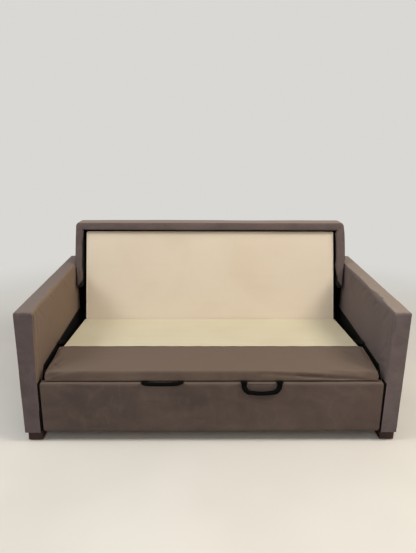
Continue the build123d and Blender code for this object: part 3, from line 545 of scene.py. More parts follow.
def arc(centre, radius, start, end, count):
    """Points of an arc in a plane, with angles in degrees from its first axis."""
    turns = np.radians(np.linspace(start, end, count))
    return [(centre[0] + radius * math.cos(a), centre[1] + radius * math.sin(a)) for a in turns]


def rounded_rectangle(x0, x1, y0, y1, radius, count):
    """Corners of a rectangle in a plane as arcs, once round."""
    x0, x1, y0, y1 = x0 + radius, x1 - radius, y0 + radius, y1 - radius
    path = []
    for centre, start in (((x1, y0), -90), ((x1, y1), 0), ((x0, y1), 90), ((x0, y0), 180)):
        path += arc(centre, radius, start, start + 90, count)
    return path


def even_loop(corners, step):
    """Closed path through some points, cut into steps."""
    path = []
    for p, q in zip(corners, corners[1:] + corners[:1]):
        count = max(1, int(math.dist(p, q) / step))
        path += [np.array(p) + (np.array(q) - np.array(p)) * k / count for k in range(count)]
    return np.array(path)


def tube(name, path, radius, material, closed=False):
    """Round cord of cloth along a path, such as a welt."""
    sides = 8
    path = np.array(path, float)
    if closed:
        ahead, behind = np.roll(path, -1, 0), np.roll(path, 1, 0)
    else:
        ahead, behind = np.vstack([path[1:], path[-1:]]), np.vstack([path[:1], path[:-1]])
    tangent = ahead - behind
    tangent /= np.linalg.norm(tangent, axis=1, keepdims=True)
    side = np.cross(tangent[0], (0.31, 0.52, 0.79))
    points = []
    for place, way in zip(path, tangent):
        side = side - way * (side @ way)
        side /= np.linalg.norm(side)
        other = np.cross(way, side)
        points += [place + radius * (side * c + other * s) for c, s in circle(sides)]
    count = len(path)
    faces = grid_quads(count, sides, ring=True, loop=True) if closed else rod_faces(count, sides)
    return make_mesh(name, points, faces, material)


def stitches(name, path, body):
    """Row of short thread stitches along a path."""
    radius, length, pitch, sides = 0.45 * MM, 3.2 * MM, 5.0 * MM, 5
    profile = ((0, 0.2), (0.25, 1), (0.75, 1), (1, 0.2))
    path = np.array(path, float)
    run = np.concatenate([[0], np.cumsum(np.linalg.norm(np.diff(path, axis=0), axis=1))])
    points, faces = [], []
    for start in np.arange(pitch, run[-1] - pitch, pitch):
        a, b = (
            np.array([np.interp(s, run, path[:, i]) for i in range(3)])
            for s in (start, start + length)
        )
        way = (b - a) / np.linalg.norm(b - a)
        side = np.cross(way, (0.3, 0.5, 0.8))
        side /= np.linalg.norm(side)
        other = np.cross(way, side)
        faces += rod_faces(len(profile), sides, len(points))
        for s, swell in profile:
            for c, n in circle(sides):
                points.append(a + (b - a) * s + (side * c + other * n) * radius * swell)
    dress(make_mesh(name, points, faces, THREAD), body)


def rim_pairs(faces):
    """Edges that only one face has, in that face's order."""
    seen = dict.fromkeys((a, b) for f in faces for a, b in zip(f, (*f[1:], f[0])))
    return [(a, b) for a, b in seen if (b, a) not in seen]


def padded_shell(
    low, high, steps, radii_low, radii_high, open_faces, thickness, extra=((), (), ()), ease=0.0
):
    """Outer and inner skin of a cover that is open on some faces."""
    low, high = np.array(low), np.array(high)
    axes = [cuts(low[i], high[i], steps[i], ease, extra[i]) for i in range(3)]
    grid, faces = block_grid(*axes, open_faces=open_faces)
    outer = round_block(grid, low, high, radii_low, radii_high)
    inner_low = low + [0 if (i, 0) in open_faces else thickness for i in range(3)]
    inner_high = high - [0 if (i, 1) in open_faces else thickness for i in range(3)]
    return outer, inner_low + (grid - low) / (high - low) * (inner_high - inner_low), faces


def close_shell(outer, inner, faces):
    """Joins an outer and an inner skin with a rim."""
    count = len(outer)
    every = [tuple(f) for f in faces] + [tuple(count + i for i in reversed(f)) for f in faces]
    every += [(b, a, count + a, count + b) for a, b in rim_pairs(faces)]
    return np.vstack([outer, inner]), every


# Arms. Distances along an arm run from its front, those across from its inner edge.
ARM_SEAM = 15 * MM
# Painted shade: behind the first distance, the arm's inner face is made black like the deep gap
# beside the panel.
PAINTED_SHADE_BEHIND, LINED_BELOW = 0.9, 0.316  # distance along and height where the lining shows
ARM_LEAN = {"left": (-4.5, -1.0), "right": (-1.5, 5.5)}  # mm sideways, at the foot and the top
# Width in mm of the shaded shoulder, by distance along the arm in mm
SHOULDER = {
    "left": (
        (0, 4), (90, 7), (140, 6), (240, 9), (358, 15), (420, 10), (536, 5), (690, 5), (800, 7),
        (900, 11),
    ),
    "right": (
        (0, 4), (107, 3), (132, 5), (184, 9), (230, 17), (285, 19), (330, 12), (375, 3), (412, 3),
        (476, 7), (569, 8), (633, 10), (662, 6), (729, 5), (800, 3), (1000, 5),
    ),
}
# Slack folds on the inner side: both ends as distance along and height, then width and depth
SIDE_FOLDS = {
    "left": (
        ((0.050, 0.660), (0.066, 0.50), 6, 7.0), ((0.030, 0.650), (0.040, 0.46), 10, -3.0),
        ((0.044, 0.52), (0.060, 0.40), 6, 5.5), ((0.075, 0.51), (0.085, 0.45), 7, 3.5),
        ((0.10, 0.66), (0.20, 0.56), 9, 1.8), ((0.30, 0.665), (0.37, 0.60), 8, 2.2),
        ((0.55, 0.665), (0.64, 0.58), 10, 2.0), ((0.78, 0.60), (0.88, 0.655), 9, 2.2),
        ((0.80, 0.54), (0.90, 0.60), 12, 1.6), ((0.03, 0.36), (0.11, 0.31), 9, 2.2),
    ),
    "right": (
        ((0.035, 0.62), (0.07, 0.36), 8, 3.0), ((0.04, 0.50), (0.10, 0.44), 8, 3.0),
        ((0.03, 0.42), (0.12, 0.38), 9, 2.6), ((0.22, 0.65), (0.31, 0.59), 9, 3.4),
        ((0.25, 0.66), (0.27, 0.60), 6, 2.6), ((0.33, 0.655), (0.40, 0.62), 8, 3.0),
        ((0.42, 0.66), (0.50, 0.60), 9, 3.4), ((0.52, 0.65), (0.56, 0.61), 7, 2.6),
        ((0.66, 0.66), (0.73, 0.59), 9, 3.6), ((0.60, 0.56), (0.80, 0.61), 13, 2.2),
        ((0.10, 0.60), (0.20, 0.655), 9, 2.4), ((0.06, 0.655), (0.16, 0.56), 12, 2.6),
    ),
}
# Folds over the top: both ends as distance across and along, then width and depth
TOP_FOLDS = {
    "left": (((0.004, 0.24), (0.05, 0.28), 9, 1.4), ((0.01, 0.66), (0.06, 0.70), 9, 1.4)),
    "right": (
        ((0.006, 0.625), (0.080, 0.668), 7, 3.4), ((0.012, 0.585), (0.070, 0.605), 9, -1.6),
        ((0.020, 0.440), (0.050, 0.395), 7, 2.8), ((0.026, 0.262), (0.048, 0.200), 7, 3.0),
        ((0.010, 0.110), (0.036, 0.085), 6, 2.4), ((0.05, 0.875), (0.083, 0.89), 8, 2.6),
        ((0.004, 0.800), (0.030, 0.840), 7, 2.2), ((0.008, 0.500), (0.035, 0.520), 7, 2.0),
    ),
}


def arm_lean(points, side, lo, hi):
    """The arms don't stand quite upright: small sideways offset by height."""
    foot, head = ARM_LEAN[side]
    share = np.clip((points[:, 2] - lo.z) / (hi.z - lo.z), 0, 1)
    moved = points.copy()
    moved[:, 0] += (foot + (head - foot) * share) * MM
    return moved


def front_swell(points, side, lo, hi):
    """Padding of the left arm pushes its front edge towards the seat near the top."""
    if side == "right":
        return points
    moved = points.copy()
    middle = (lo.x + hi.x) / 2
    near_seat = np.clip((points[:, 0] - middle) / (hi.x - middle), 0, 1) ** 2
    near_front = np.interp(points[:, 1] - lo.y, (0, 0.02, 0.06, 0.11), (1, 1, 0.6, 0))
    by_height = np.interp(points[:, 2], (0.40, 0.48, 0.60, 0.668), (0, 3, 6.5, 9)) * MM
    moved[:, 0] += by_height * near_front * near_seat
    return moved


def seam_loop(lo, hi, y):
    """Path up the inner side, over the top and down the outer side."""
    radius, step, foot_gap = 8 * MM, 6 * MM, 10 * MM
    left, right, top = lo.x + radius, hi.x - radius, hi.z - radius
    path = [(lo.x, z) for z in np.arange(lo.z + foot_gap, top, step)]
    path += arc((left, top), radius, 180, 90, 6)
    path += [(x, hi.z) for x in np.arange(left, right, step)]
    path += arc((right, top), radius, 90, 0, 6)
    path += [(hi.x, z) for z in np.arange(top, lo.z + foot_gap, -step)]
    return np.array([(x, y, z) for x, z in path])


def make_arm(side, sign):
    lo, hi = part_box(f"{side}_arm_cover")
    hi = hi + Vector((0, 0, 3.5 * MM))
    top, seam_y, rear_seam_y = hi.z, lo.y + ARM_SEAM, hi.y - ARM_SEAM
    inner_edge, outer_edge, end_edge = 5 * MM, 9 * MM, 12 * MM
    low_x, high_x = (outer_edge, inner_edge) if sign < 0 else (inner_edge, outer_edge)
    outer, inner, faces = padded_shell(
        lo, hi, (5 * MM, 9 * MM, 9 * MM), (low_x, end_edge, 0), (high_x, end_edge, outer_edge),
        [(2, 0)], 9 * MM, ((), (seam_y, rear_seam_y), ()), end_edge,
    )
    normals = normals_of(outer, faces)
    shift = 0.8 * MM * ripple(outer, 3.0, 11 + sign)
    middle_x = (lo.x + hi.x) / 2
    across = np.clip(1 - ((outer[:, 0] - middle_x) / (0.5 * (hi.x - lo.x))) ** 2, 0, 1)
    shift += 1.5 * MM * across * (normals[:, 2] > 0.7)
    for y, depth in ((seam_y, 1.8 * MM), (rear_seam_y, 1.6 * MM)):
        shift -= depth * bell(outer[:, 1] - y, 1.8 * MM)
    inner_face = (lo.x, hi.x)[sign < 0]
    local = np.random.default_rng(40 + sign)
    # Pulls in the cloth along the seam behind the front panel
    for _ in range(26):
        z = local.uniform(lo.z + 0.05, top - 0.02)
        length = local.uniform(0.012, 0.045)
        drop = local.uniform(-0.012, 0.006)
        start, end = (inner_face, seam_y, z), (inner_face, seam_y + length, z + drop)
        crease(outer, shift, start, end, 3.2, 1.1)
    for _ in range(8):
        x = local.uniform(lo.x + 0.015, hi.x - 0.015)
        end = (x + local.uniform(-0.01, 0.01), seam_y + 0.04, top)
        crease(outer, shift, (x, seam_y, top), end, 3, 0.9)
    for *ends, width, depth in SIDE_FOLDS[side]:
        a, b = ((inner_face, lo.y + y, z) for y, z in ends)
        crease(outer, shift, a, b, width, depth)
    for *ends, width, depth in TOP_FOLDS[side]:
        a, b = ((inner_face + sign * x, lo.y + y, top) for x, y in ends)
        crease(outer, shift, a, b, width, depth)
    a, b = ((inner_face + sign * x, lo.y, z) for x, z in ((0.005, 0.655), (0.006, 0.58)))
    crease(outer, shift, a, b, 3.5, 2.6 if sign > 0 else 1.0)
    shift *= np.clip((outer[:, 2] - lo.z) / 0.02, 0.15, 1)
    outer = outer + normals * shift[:, None]
    # Slack shoulder along the inner top edge
    along = (outer[:, 1] - lo.y) / MM
    reach = np.interp(along, *np.transpose(SHOULDER[side])) * MM * 1.45 + 3 * MM
    share = np.clip(1 - np.abs(outer[:, 0] - inner_face) / reach, 0, 1)
    deep = np.clip(reach * 0.55, 0, 14 * MM)
    on_top = np.clip((outer[:, 2] - top + 0.035) / 0.03, 0, 1)
    outer[:, 2] -= deep * share ** 1.6 * on_top * np.clip(along / 25, 0, 1)
    outer = front_swell(outer, side, lo, hi)
    outer, inner = arm_lean(outer, side, lo, hi), arm_lean(inner, side, lo, hi)
    points, every = close_shell(outer, inner, faces)
    obj = make_mesh(f"{side}_arm_upholstery", points, every, ARM_NAP_PAINTED_LIGHT[side])
    obj.data.materials.append(LINING)
    # Lining below the deck behind the front panel, and black lining behind the back frame as
    # painted shade of the deep gap beside the panel
    for face in obj.data.polygons:
        depth, z = face.center.y - lo.y, face.center.z
        painted_shade_behind_back = depth > PAINTED_SHADE_BEHIND and z < top - 20 * MM
        beside_rail = 2 * MM < depth < 60 * MM and z < LINED_BELOW
        if face.normal.x * sign < -0.7 and (painted_shade_behind_back or beside_rail):
            face.material_index = 1
    dress(obj, "sofa_frame", [f"{side}_arm_cover"])
    path = arm_lean(front_swell(seam_loop(lo, hi, seam_y), side, lo, hi), side, lo, hi)
    stitches(f"{side}_arm_stitches", path, "sofa_frame")


for side, sign in SIDES:
    make_arm(side, sign)


# Arm linings
def make_lining(side, sign):
    rows, columns = 40, 120
    co = node_points(f"{side}_arm_lining")
    lo, hi = co.min(0), co.max(0)
    edge = sorted({(round(float(y), 4), round(float(z), 4)) for _, y, z in co if z > lo[2] + MM})
    outside, inside = (hi[0], lo[0]) if sign > 0 else (lo[0], hi[0])
    ys = np.arange(lo[1], hi[1] + 1e-6, (hi[1] - lo[1]) / columns)
    tops = np.interp(ys, *zip(*edge))
    points = np.array([
        (inside, y, lo[2] + (top - lo[2]) * r / rows)
        for y, top in zip(ys, tops) for r in range(rows + 1)
    ])
    wave = ripple(points, 3.5, 90 + sign, 2)
    free = np.minimum((points[:, 2] - lo[2]) / 0.06, 1)
    points[:, 0] -= sign * (0.6 * MM + 0.9 * MM * wave * free)
    faces = grid_quads(len(ys), rows + 1, flip=True)
    back = points.copy()
    back[:, 0] = outside
    points, every = close_shell(points, back, turned(faces) if sign > 0 else faces)
    obj = make_mesh(f"{side}_lining_cloth", points, every, LINING)
    dress(obj, "sofa_frame", [f"{side}_arm_lining"])


for side, sign in SIDES:
    make_lining(side, sign)


# Back frame. The offsets are in mm, by height in metres: the wings swell out over the arms
# and narrow towards their ends.
WING_OUTER = ((0.54, 0.64, 0.668, 0.69, 0.72, 0.82, 0.90), (-11, -3, -1, 2.5, 4, 3, 0))
WING_INNER = ((0.54, 0.58, 0.66, 0.80, 0.872), (7, 6, 5.5, 5, 0))
RIGHT_WING_MORE = ((0.54, 0.67, 0.7, 0.86, 0.89), (0, 0, 4, 3, 0))
UNEVEN_SHARE = ((0.60, 0.66, 0.85, 0.872), (0, 1, 1, 0))
UNEVEN_LEFT, UNEVEN_RIGHT = 1.0, -8.0


def make_back():
    """Top rail and both side wings under one cover, with mitred corners."""
    rail_lo, rail_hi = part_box("top_rail_cover")
    wing_lo, wing_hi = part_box("right_wing_cover")
    co = node_points("right_wing_cover")
    low_y = co[co[:, 2] < wing_lo.z + MM][:, 1].min()
    high_y = co[co[:, 2] > wing_hi.z - MM][:, 1].min()
    lean = (high_y - low_y) / (wing_hi.z - wing_lo.z)
    half, top = rail_hi.x, rail_hi.z - 2 * MM
    inner_half, inner_top, bottom = wing_lo.x, rail_lo.z, wing_lo.z
    corner, slant = 20 * MM, 34 * MM

    # Outer line and matching inner line, from the left wing up and over
    low = bottom - 6 * MM
    ups = np.linspace(low + 1.5 * MM, top - corner, 43)
    turn = arc((-half + corner, top - corner), corner, 180, 90, 10)[1:-1]
    outer_line = [(-half, low)] + [(-half, z) for z in ups] + turn
    inner_line = [(-inner_half, low)]
    inner_line += [(-inner_half, z) for z in np.linspace(bottom + slant, inner_top, len(ups))]
    inner_line += [(-inner_half, inner_top)] * len(turn)
    wing_count = len(outer_line)
    outer_line += [(x, top) for x in np.linspace(-half + corner, half - corner, 150)]
    inner_line += [(x, inner_top) for x in np.linspace(-inner_half, inner_half, 150)]
    outer_line, inner_line = (
        np.array(line + [(-x, z) for x, z in line[wing_count - 1 :: -1]])
        for line in (outer_line, inner_line)
    )
    for line, swell in ((outer_line, WING_OUTER), (inner_line, WING_INNER)):
        right, height = line[:, 0] > 0, line[:, 1]
        offset = np.interp(height, *swell) + right * np.interp(height, *RIGHT_WING_MORE)
        if line is inner_line:
            uneven = np.where(right, UNEVEN_RIGHT, UNEVEN_LEFT)
            offset += uneven * np.interp(height, *UNEVEN_SHARE)
        on_wing = np.abs(line[:, 0]) > inner_half - MM
        line[:, 0] += np.where(on_wing, np.sign(line[:, 0]) * offset * MM, 0)

    # Section, once round: across from the outer to the inner line, and from front to back
    across_n, deep_n = 10, 26
    border = [(s, 0) for s in range(across_n)] + [(across_n, d) for d in range(deep_n)]
    border += [(s, deep_n) for s in range(across_n, 0, -1)] + [(0, d) for d in range(deep_n, 0, -1)]
    ring, count = len(border), len(outer_line)
    s, d = np.tile(np.array(border) / (across_n, deep_n), (count, 1)).T
    line_a, line_b = (np.repeat(line, ring, 0) for line in (outer_line, inner_line))
    flat = line_a + (line_b - line_a) * s[:, None]
    width = np.linalg.norm(line_b - line_a, axis=1)
    front_y = np.minimum(low_y + lean * (flat[:, 1] - bottom), rail_lo.y + 40 * MM)
    on_rail = (line_a[:, 1] - (top - corner)) / corner > 0.5
    back_y = np.where(on_rail, rail_hi.y, wing_hi.y)
    y = front_y + (back_y - front_y) * d
    points = np.column_stack([flat[:, 0], y, flat[:, 1]])

    # Rounded edges: the corners of the section are pulled in
    front_radius, rear_radius, inner_rear_radius = 13 * MM, 42 * MM, 4 * MM
    inward = (line_b - line_a) / np.maximum(width, 1e-9)[:, None]
    for near, sign, rear in ((s * width, 1, rear_radius), ((1 - s) * width, -1, inner_rear_radius)):
        for deep, toward, radius in ((y - front_y, 1, front_radius), (back_y - y, -1, rear)):
            r = np.minimum(radius, width * 0.9)
            u, v = np.clip(1 - near / r, 0, None), np.clip(1 - deep / r, 0, None)
            round_off = 1 - np.maximum(u, v) / np.maximum(np.hypot(u, v), 1e-9)
            pull = np.where((u > 0) & (v > 0), round_off * r, 0)
            points[:, ::2] += sign * inward * (u * pull)[:, None]
            points[:, 1] += toward * v * pull
    # The top falls a little from its front edge to its back edge
    up_share = np.clip((flat[:, 1] - inner_top) / (top - inner_top), 0, 1)
    points[:, 2] += up_share * np.interp(d, (0.0, 0.15, 1.0), (4.0, 3.5, -2.0)) * MM

    def wing_end(start, points):
        """Points inside the lower end of a wing, which hangs a little, and quads over it."""
        hang = 5 * MM
        ids = {place: start + number for number, place in enumerate(border)}
        new = []
        for s in range(1, across_n):
            for d in range(1, deep_n):
                a, b, t = points[ids[0, d]], points[ids[across_n, d]], s / across_n
                ids[s, d] = len(points) + len(new)
                new.append(a + (b - a) * t - (0, 0, hang * math.sin(math.pi * t)))
        quads = [
            (ids[s, d], ids[s, d + 1], ids[s + 1, d + 1], ids[s + 1, d])
            for s in range(across_n) for d in range(deep_n)
        ]
        return np.vstack([points, new]), quads

    faces = grid_quads(count, ring, ring=True)
    points, quads = wing_end(0, points)
    faces += turned(quads)
    points, quads = wing_end((count - 1) * ring, points)
    faces += quads
    normals = normals_of(points, faces)
    shift = 1.1 * MM * ripple(points, 2.2, 5, 2)
    for s in (-1, 1):
        # Mitre seams at the corners
        a, b = np.array((s * half, top)), np.array((s * inner_half, inner_top))
        way = (b - a) / np.linalg.norm(b - a)
        off = (points[:, 0] - a[0]) * way[1] - (points[:, 2] - a[1]) * way[0]
        near = (points[:, 2] > inner_top - 0.03) & (np.abs(points[:, 0]) > inner_half - 0.03)
        shift -= np.where(near, 1.6 * MM * bell(off, 2.2 * MM), 0)
        # Slack folds down the wings and pulls at their outer edge
        for ends in (
            ((0.80, 0.012), (0.70, 0.020)), ((0.66, 0.030), (0.58, 0.016)),
            ((0.74, 0.034), (0.60, 0.028)),
        ):
            a, b = ((s * (inner_half + x), low_y + lean * (z - bottom), z) for z, x in ends)
            crease(points, shift, a, b, 6, 1.6)
        for k in range(5):
            z = bottom + 0.02 + 0.05 * k
            y = low_y + lean * (z - bottom)
            end = (s * (half - 0.028), y, z + 0.014)
            crease(points, shift, (s * half, y + 0.004, z), end, 4, 1.2)
    for k in range(9):
        x = -0.7 + 0.175 * k + rng.uniform(-0.03, 0.03)
        end = (x + 0.05, rail_lo.y, inner_top + 0.016)
        crease(points, shift, (x, rail_lo.y, inner_top + 0.002), end, 9, 1.0)
    points = points + normals * shift[:, None]
    obj = make_mesh("back_upholstery", points, faces, UPHOLSTERY)
    obj.data.materials.append(LINING)
    # Lining on the wings' lower ends and on the inner side behind the panel
    for number, face in enumerate(obj.data.polygons):
        on_ring = number < (count - 1) * ring
        wedge = number < ring or number >= (count - 2) * ring
        inside = across_n + 3 <= number % ring < across_n + deep_n
        under = face.center.z < bottom + 12 * MM and face.normal.z < -0.6
        if on_ring and (wedge or inside) or under:
            face.material_index = 1
    covers = ["top_rail_cover", "left_wing_cover", "right_wing_cover"]
    dress(obj, "sofa_frame", covers)


make_back()


def make_outside_back():
    lo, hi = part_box("outside_back_cover")
    edge, inset = 4 * MM, 12 * MM
    outer, inner, faces = padded_shell(
        lo, hi, (14 * MM, 4 * MM, 14 * MM), (edge, 0, edge), (edge, edge, edge),
        [(1, 0)], 4 * MM, ease=edge,
    )
    u, _, w = ((outer - lo) / (hi - lo)).T
    rear = np.clip(normals_of(outer, faces)[:, 1], 0, 1)
    swell = np.clip(np.sin(np.pi * u) * np.sin(np.pi * w), 0, 1) ** 0.4 * rear
    flow = ripple(outer * np.array((1, 1, 0.35)), 4, 31, 2)
    outer[:, 1] += 3.2 * MM * swell + 0.9 * MM * flow * swell
    points, faces = close_shell(outer, inner, faces)
    obj = make_mesh("outside_back_cloth", points, faces, UPHOLSTERY)
    dress(obj, "sofa_frame", ["outside_back_cover"])
    left, right, bottom, top = lo.x + inset, hi.x - inset, lo.z + inset, hi.z - inset
    end = np.arange(bottom, top, 20 * MM)[-1]
    corners = ((left, top), (right, top), (right, bottom), (left, bottom), (left, end))
    path = [(x, hi.y + 0.7 * MM, z) for x, z in corners]
    stitches("outside_back_stitches", path, "sofa_frame")


make_outside_back()

# Front rail. Its soft dents: both ends across and up, then width and depth.
RAIL_DENTS = (
    ((-0.76, 0.27), (-0.62, 0.20), 22, 1.4), ((-0.70, 0.31), (-0.55, 0.285), 16, 0.9),
    ((-0.60, 0.075), (-0.50, 0.10), 10, 1.6), ((-0.52, 0.078), (-0.47, 0.095), 8, 1.4),
    ((0.30, 0.25), (0.42, 0.17), 24, 1.2), ((0.55, 0.24), (0.62, 0.14), 20, 1.3),
    ((-0.1, 0.10), (0.02, 0.15), 22, 1.0), ((0.70, 0.30), (0.78, 0.25), 14, 1.0),
)
LOOP_X, LOOP_HALF, LOOP_LOW_Z = 0.235, 0.10, 0.235


def make_front_rail():
    lo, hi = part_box("front_rail_cover")
    lo, hi = lo - Vector((4.5 * MM, 0, 6 * MM)), hi + Vector((4.5 * MM, 0, 0))
    radius, inset = 12 * MM, 3.2 * MM
    outer, inner, faces = padded_shell(
        lo, hi, (8 * MM, 6 * MM, 7 * MM), (radius, radius, radius), (radius, 0, radius),
        [(1, 1)], 6 * MM, ease=radius,
    )
    normals = normals_of(outer, faces)
    shift = 1.0 * MM * ripple(outer, 1.8, 21, 2)
    front_share = np.clip(-normals[:, 1], 0, 1)
    u, _, w = ((outer - lo) / (hi - lo)).T
    crown = np.clip(np.sin(np.pi * w) * np.sin(np.pi * u), 0, 1) ** 0.5
    shift += 2.5 * MM * front_share * crown
    for *ends, width, depth in RAIL_DENTS:
        a, b = ((x, lo.y, z) for x, z in ends)
        crease(outer, shift, a, b, width, depth)
    # The pull loops press the cloth in where they lie on it
    loops = np.exp(-(((np.abs(outer[:, 0]) - LOOP_X) / LOOP_HALF) ** 4))
    loops *= np.clip((outer[:, 2] - LOOP_LOW_Z) / 0.02, 0, 1)
    shift = np.minimum(shift, 5 * MM) * (1 - loops) - 2.0 * MM * loops * front_share
    outer = outer + normals * shift[:, None]
    lip = np.clip(1 - (outer[:, 1] - lo.y - 4 * MM) / (16 * MM), 0, 1)
    outer[:, 2] -= 3.0 * MM * lip * np.clip((w - 0.9) / 0.05, 0, 1)
    points, every = close_shell(outer, inner, faces)
    obj = make_mesh("front_rail_upholstery", points, every, RAIL_NAP)
    dress(obj, "front_rail", ["front_rail_cover"])
    welt_y, welt_top = lo.y + 3.6 * MM, hi.z - 2.8 * MM - inset
    flat = rounded_rectangle(lo.x + inset, hi.x - inset, lo.z + inset, welt_top, radius, 8)
    path = even_loop([(x, welt_y, z) for x, z in flat], 8 * MM)
    welt = tube("front_rail_welt", path, 1.7 * MM, RAIL_NAP, True)
    dress(welt, "front_rail")


make_front_rail()


# Padded pieces, swollen as cloth under pressure
def inflate(obj, pressure, cap, hold=None):
    """Swells a padded piece with air pressure, each point by the cap at most."""
    frames = 20
    co = per_vertex(obj, "co")
    bpy.context.view_layer.objects.active = obj
    cloth_mod = obj.modifiers.new("cloth", "CLOTH")
    settings = cloth_mod.settings
    settings.quality = 4
    settings.mass = 0.3
    settings.tension_stiffness = 12
    settings.compression_stiffness = 12
    settings.shear_stiffness = 6
    settings.bending_stiffness = 0.6
    settings.use_pressure = True
    settings.uniform_pressure_force = pressure
    settings.effector_weights.gravity = 0
    cloth_mod.collision_settings.use_collision = False
    cloth_mod.point_cache.frame_start, cloth_mod.point_cache.frame_end = 1, frames
    if hold is not None:
        group = obj.vertex_groups.new(name="hold")
        for index in np.nonzero(hold(co))[0]:
            group.add([int(index)], 1.0, "REPLACE")
        settings.vertex_group_mass = "hold"
    scene = bpy.context.scene
    for number in range(1, frames + 1):
        scene.frame_set(number)
    moved = per_vertex(obj.evaluated_get(bpy.context.evaluated_depsgraph_get()), "co")
    obj.modifiers.remove(cloth_mod)
    scene.frame_set(1)
    step = moved - co
    length = np.linalg.norm(step, axis=1, keepdims=True)
    put_coordinates(obj, co + step / np.maximum(length, 1e-9) * np.minimum(length, cap))


# Folds of the pad: both ends across, behind its front and up, then width and depth
PAD_FOLDS = (
    ((0.22, 0.0, 0.363), (0.44, 0.0, 0.352), 7, 4.5),
    ((0.40, 0.0, 0.354), (0.58, 0.0, 0.341), 8, 7.0),
    ((0.55, 0.0, 0.343), (0.75, 0.0, 0.331), 7, 5.5),
    ((0.30, 0.0, 0.372), (0.66, 0.0, 0.350), 10, -3.5),
    ((0.60, 0.26, 0.384), (0.74, 0.15, 0.382), 14, 3.0),
    ((0.66, 0.26, 0.384), (0.775, 0.19, 0.38), 9, 2.6),
    ((0.02, 0.26, 0.384), (0.06, 0.19, 0.384), 9, 2.0),
    ((-0.78, 0.08, 0.378), (-0.71, 0.02, 0.372), 8, 3.0),
    ((-0.775, 0.0, 0.347), (-0.70, 0.0, 0.368), 7, 5.5),
    ((-0.765, 0.0, 0.328), (-0.71, 0.0, 0.347), 6, 5.0),
    ((-0.72, -0.004, 0.337), (-0.50, -0.005, 0.346), 7, 1.8),
    ((-0.45, -0.004, 0.352), (-0.20, -0.004, 0.356), 8, 1.2),
)
# Rise of the nose in mm, by distance behind the front
NOSE_RISE = ((-0.02, 0.0, 0.012, 0.03, 0.06, 0.10, 0.16), (1.0, 6.0, 7.5, 5.5, 3.0, 1.0, 0.0))
# Forward swell of the front face in mm, by share of its height
FACE_SWELL = ((0.0, 0.3, 0.7, 1.0), (7.0, 6.0, 4.0, 1.0))
# Drop of the lower front edge in mm, by place across
LIP_DROP = ((-0.79, -0.5, 0.3, 0.79), (7.0, 5.0, 4.5, 3.0))
PAD_HELD_BELOW = 0.3465


def make_front_pad():
    lo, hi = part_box("front_pad")
    seam, top = hi.y, hi.z
    obj = bpy.data.objects.new("front_pad_upholstery", frame["nodes"]["front_pad"].data.copy())
    bpy.context.scene.collection.objects.link(obj)
    obj.data.materials.clear()
    obj.data.materials.append(DECK_CLOTH)
    remesh = obj.modifiers.new("remesh", "REMESH")
    remesh.mode, remesh.voxel_size = "VOXEL", 6 * MM
    apply_modifiers(obj)
    put_coordinates(obj, per_vertex(obj, "co") - 1.5 * MM * per_vertex(obj, "normal"))

    def held(co):
        below = (co[:, 2] < PAD_HELD_BELOW) & (co[:, 1] > lo.y + 20 * MM)
        return below | (co[:, 1] > seam - 10 * MM)

    inflate(obj, 3.0, 6 * MM, held)
    smooth = obj.modifiers.new("smooth", "SMOOTH")
    smooth.factor, smooth.iterations = 0.5, 3
    apply_modifiers(obj)
    co = per_vertex(obj, "co")
    # Firm front: an upright face that laps over the rail, and a soft nose
    depth = co[:, 1] - lo.y
    height = (co[:, 2] - lo.z) / (hi.z - lo.z)
    upper = np.clip((height - 0.35) / 0.3, 0, 1)
    front_share = np.clip(1 - depth / 0.05, 0, 1) ** 0.7
    co[:, 2] += upper * np.interp(depth, *NOSE_RISE) * MM
    co[:, 1] -= front_share * np.interp(height, *FACE_SWELL) * MM
    co[:, 2] -= (1 - upper) * np.clip(1 - depth / 0.018, 0, 1) ** 0.5 * 11.0 * MM
    co[:, 2] = np.maximum(co[:, 2], lo.z - 8.5 * MM)
    low_share = np.clip((lo.z + 24 * MM - co[:, 2]) / (18 * MM), 0, 1)
    lip = np.clip(1 - (depth - 2 * MM) / (14 * MM), 0, 1) * low_share
    co[:, 1] -= 6.0 * MM * lip
    co[:, 2] -= np.interp(co[:, 0], *LIP_DROP) * MM * lip
    put_coordinates(obj, co)
    shift = 0.9 * MM * ripple(co, 2.6, 61, 2)
    local = np.random.default_rng(3)
    # Pulls at the seam in front of the decking
    for _ in range(22):
        x = local.uniform(-0.74, 0.74)
        length = local.uniform(0.02, 0.07)
        end = (x + local.uniform(-0.02, 0.02), seam - length, top)
        crease(co, shift, (x, seam, top), end, 6, 1.0)
    for *ends, width, deep in PAD_FOLDS:
        a, b = ((x, lo.y + y, z) for x, y, z in ends)
        crease(co, shift, a, b, width, deep)
    shift = np.where(co[:, 2] > lo.z + 4 * MM, shift, 0)
    put_coordinates(obj, co + per_vertex(obj, "normal") * shift[:, None])
    dress(obj, "seat_deck", ["front_pad"])
    return obj


pad = make_front_pad()


def make_pad_welts():
    """Welt along each side of the pad's top and down its front."""
    lo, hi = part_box("front_pad")
    lift, above, before = 0.6 * MM, 1.2, 0.3
    bend_y = lo.y + 0.11
    for side, sign in SIDES:
        edge = sign * (hi.x - 4 * MM)
        path = []
        for y in np.arange(hi.y - 2 * MM, lo.y + 16 * MM, -8 * MM):
            x = edge - sign * 9 * MM * max(0.0, (y - bend_y) / (hi.y - bend_y))
            hit, place, _, _ = pad.ray_cast(Vector((x, y, above)), Vector((0, 0, -1)))
            if hit:
                path.append((x, y, place.z + lift))
        for z in np.arange(path[-1][2] - 8 * MM, lo.z + 4 * MM, -6 * MM):
            hit, place, _, _ = pad.ray_cast(Vector((edge, lo.y - before, z)), Vector((0, 1, 0)))
            if hit:
                path.append((edge, place.y - lift, z))
        dress(tube(f"{side}_pad_welt", path, 2.6 * MM, WELT), "seat_deck")


make_pad_welts()


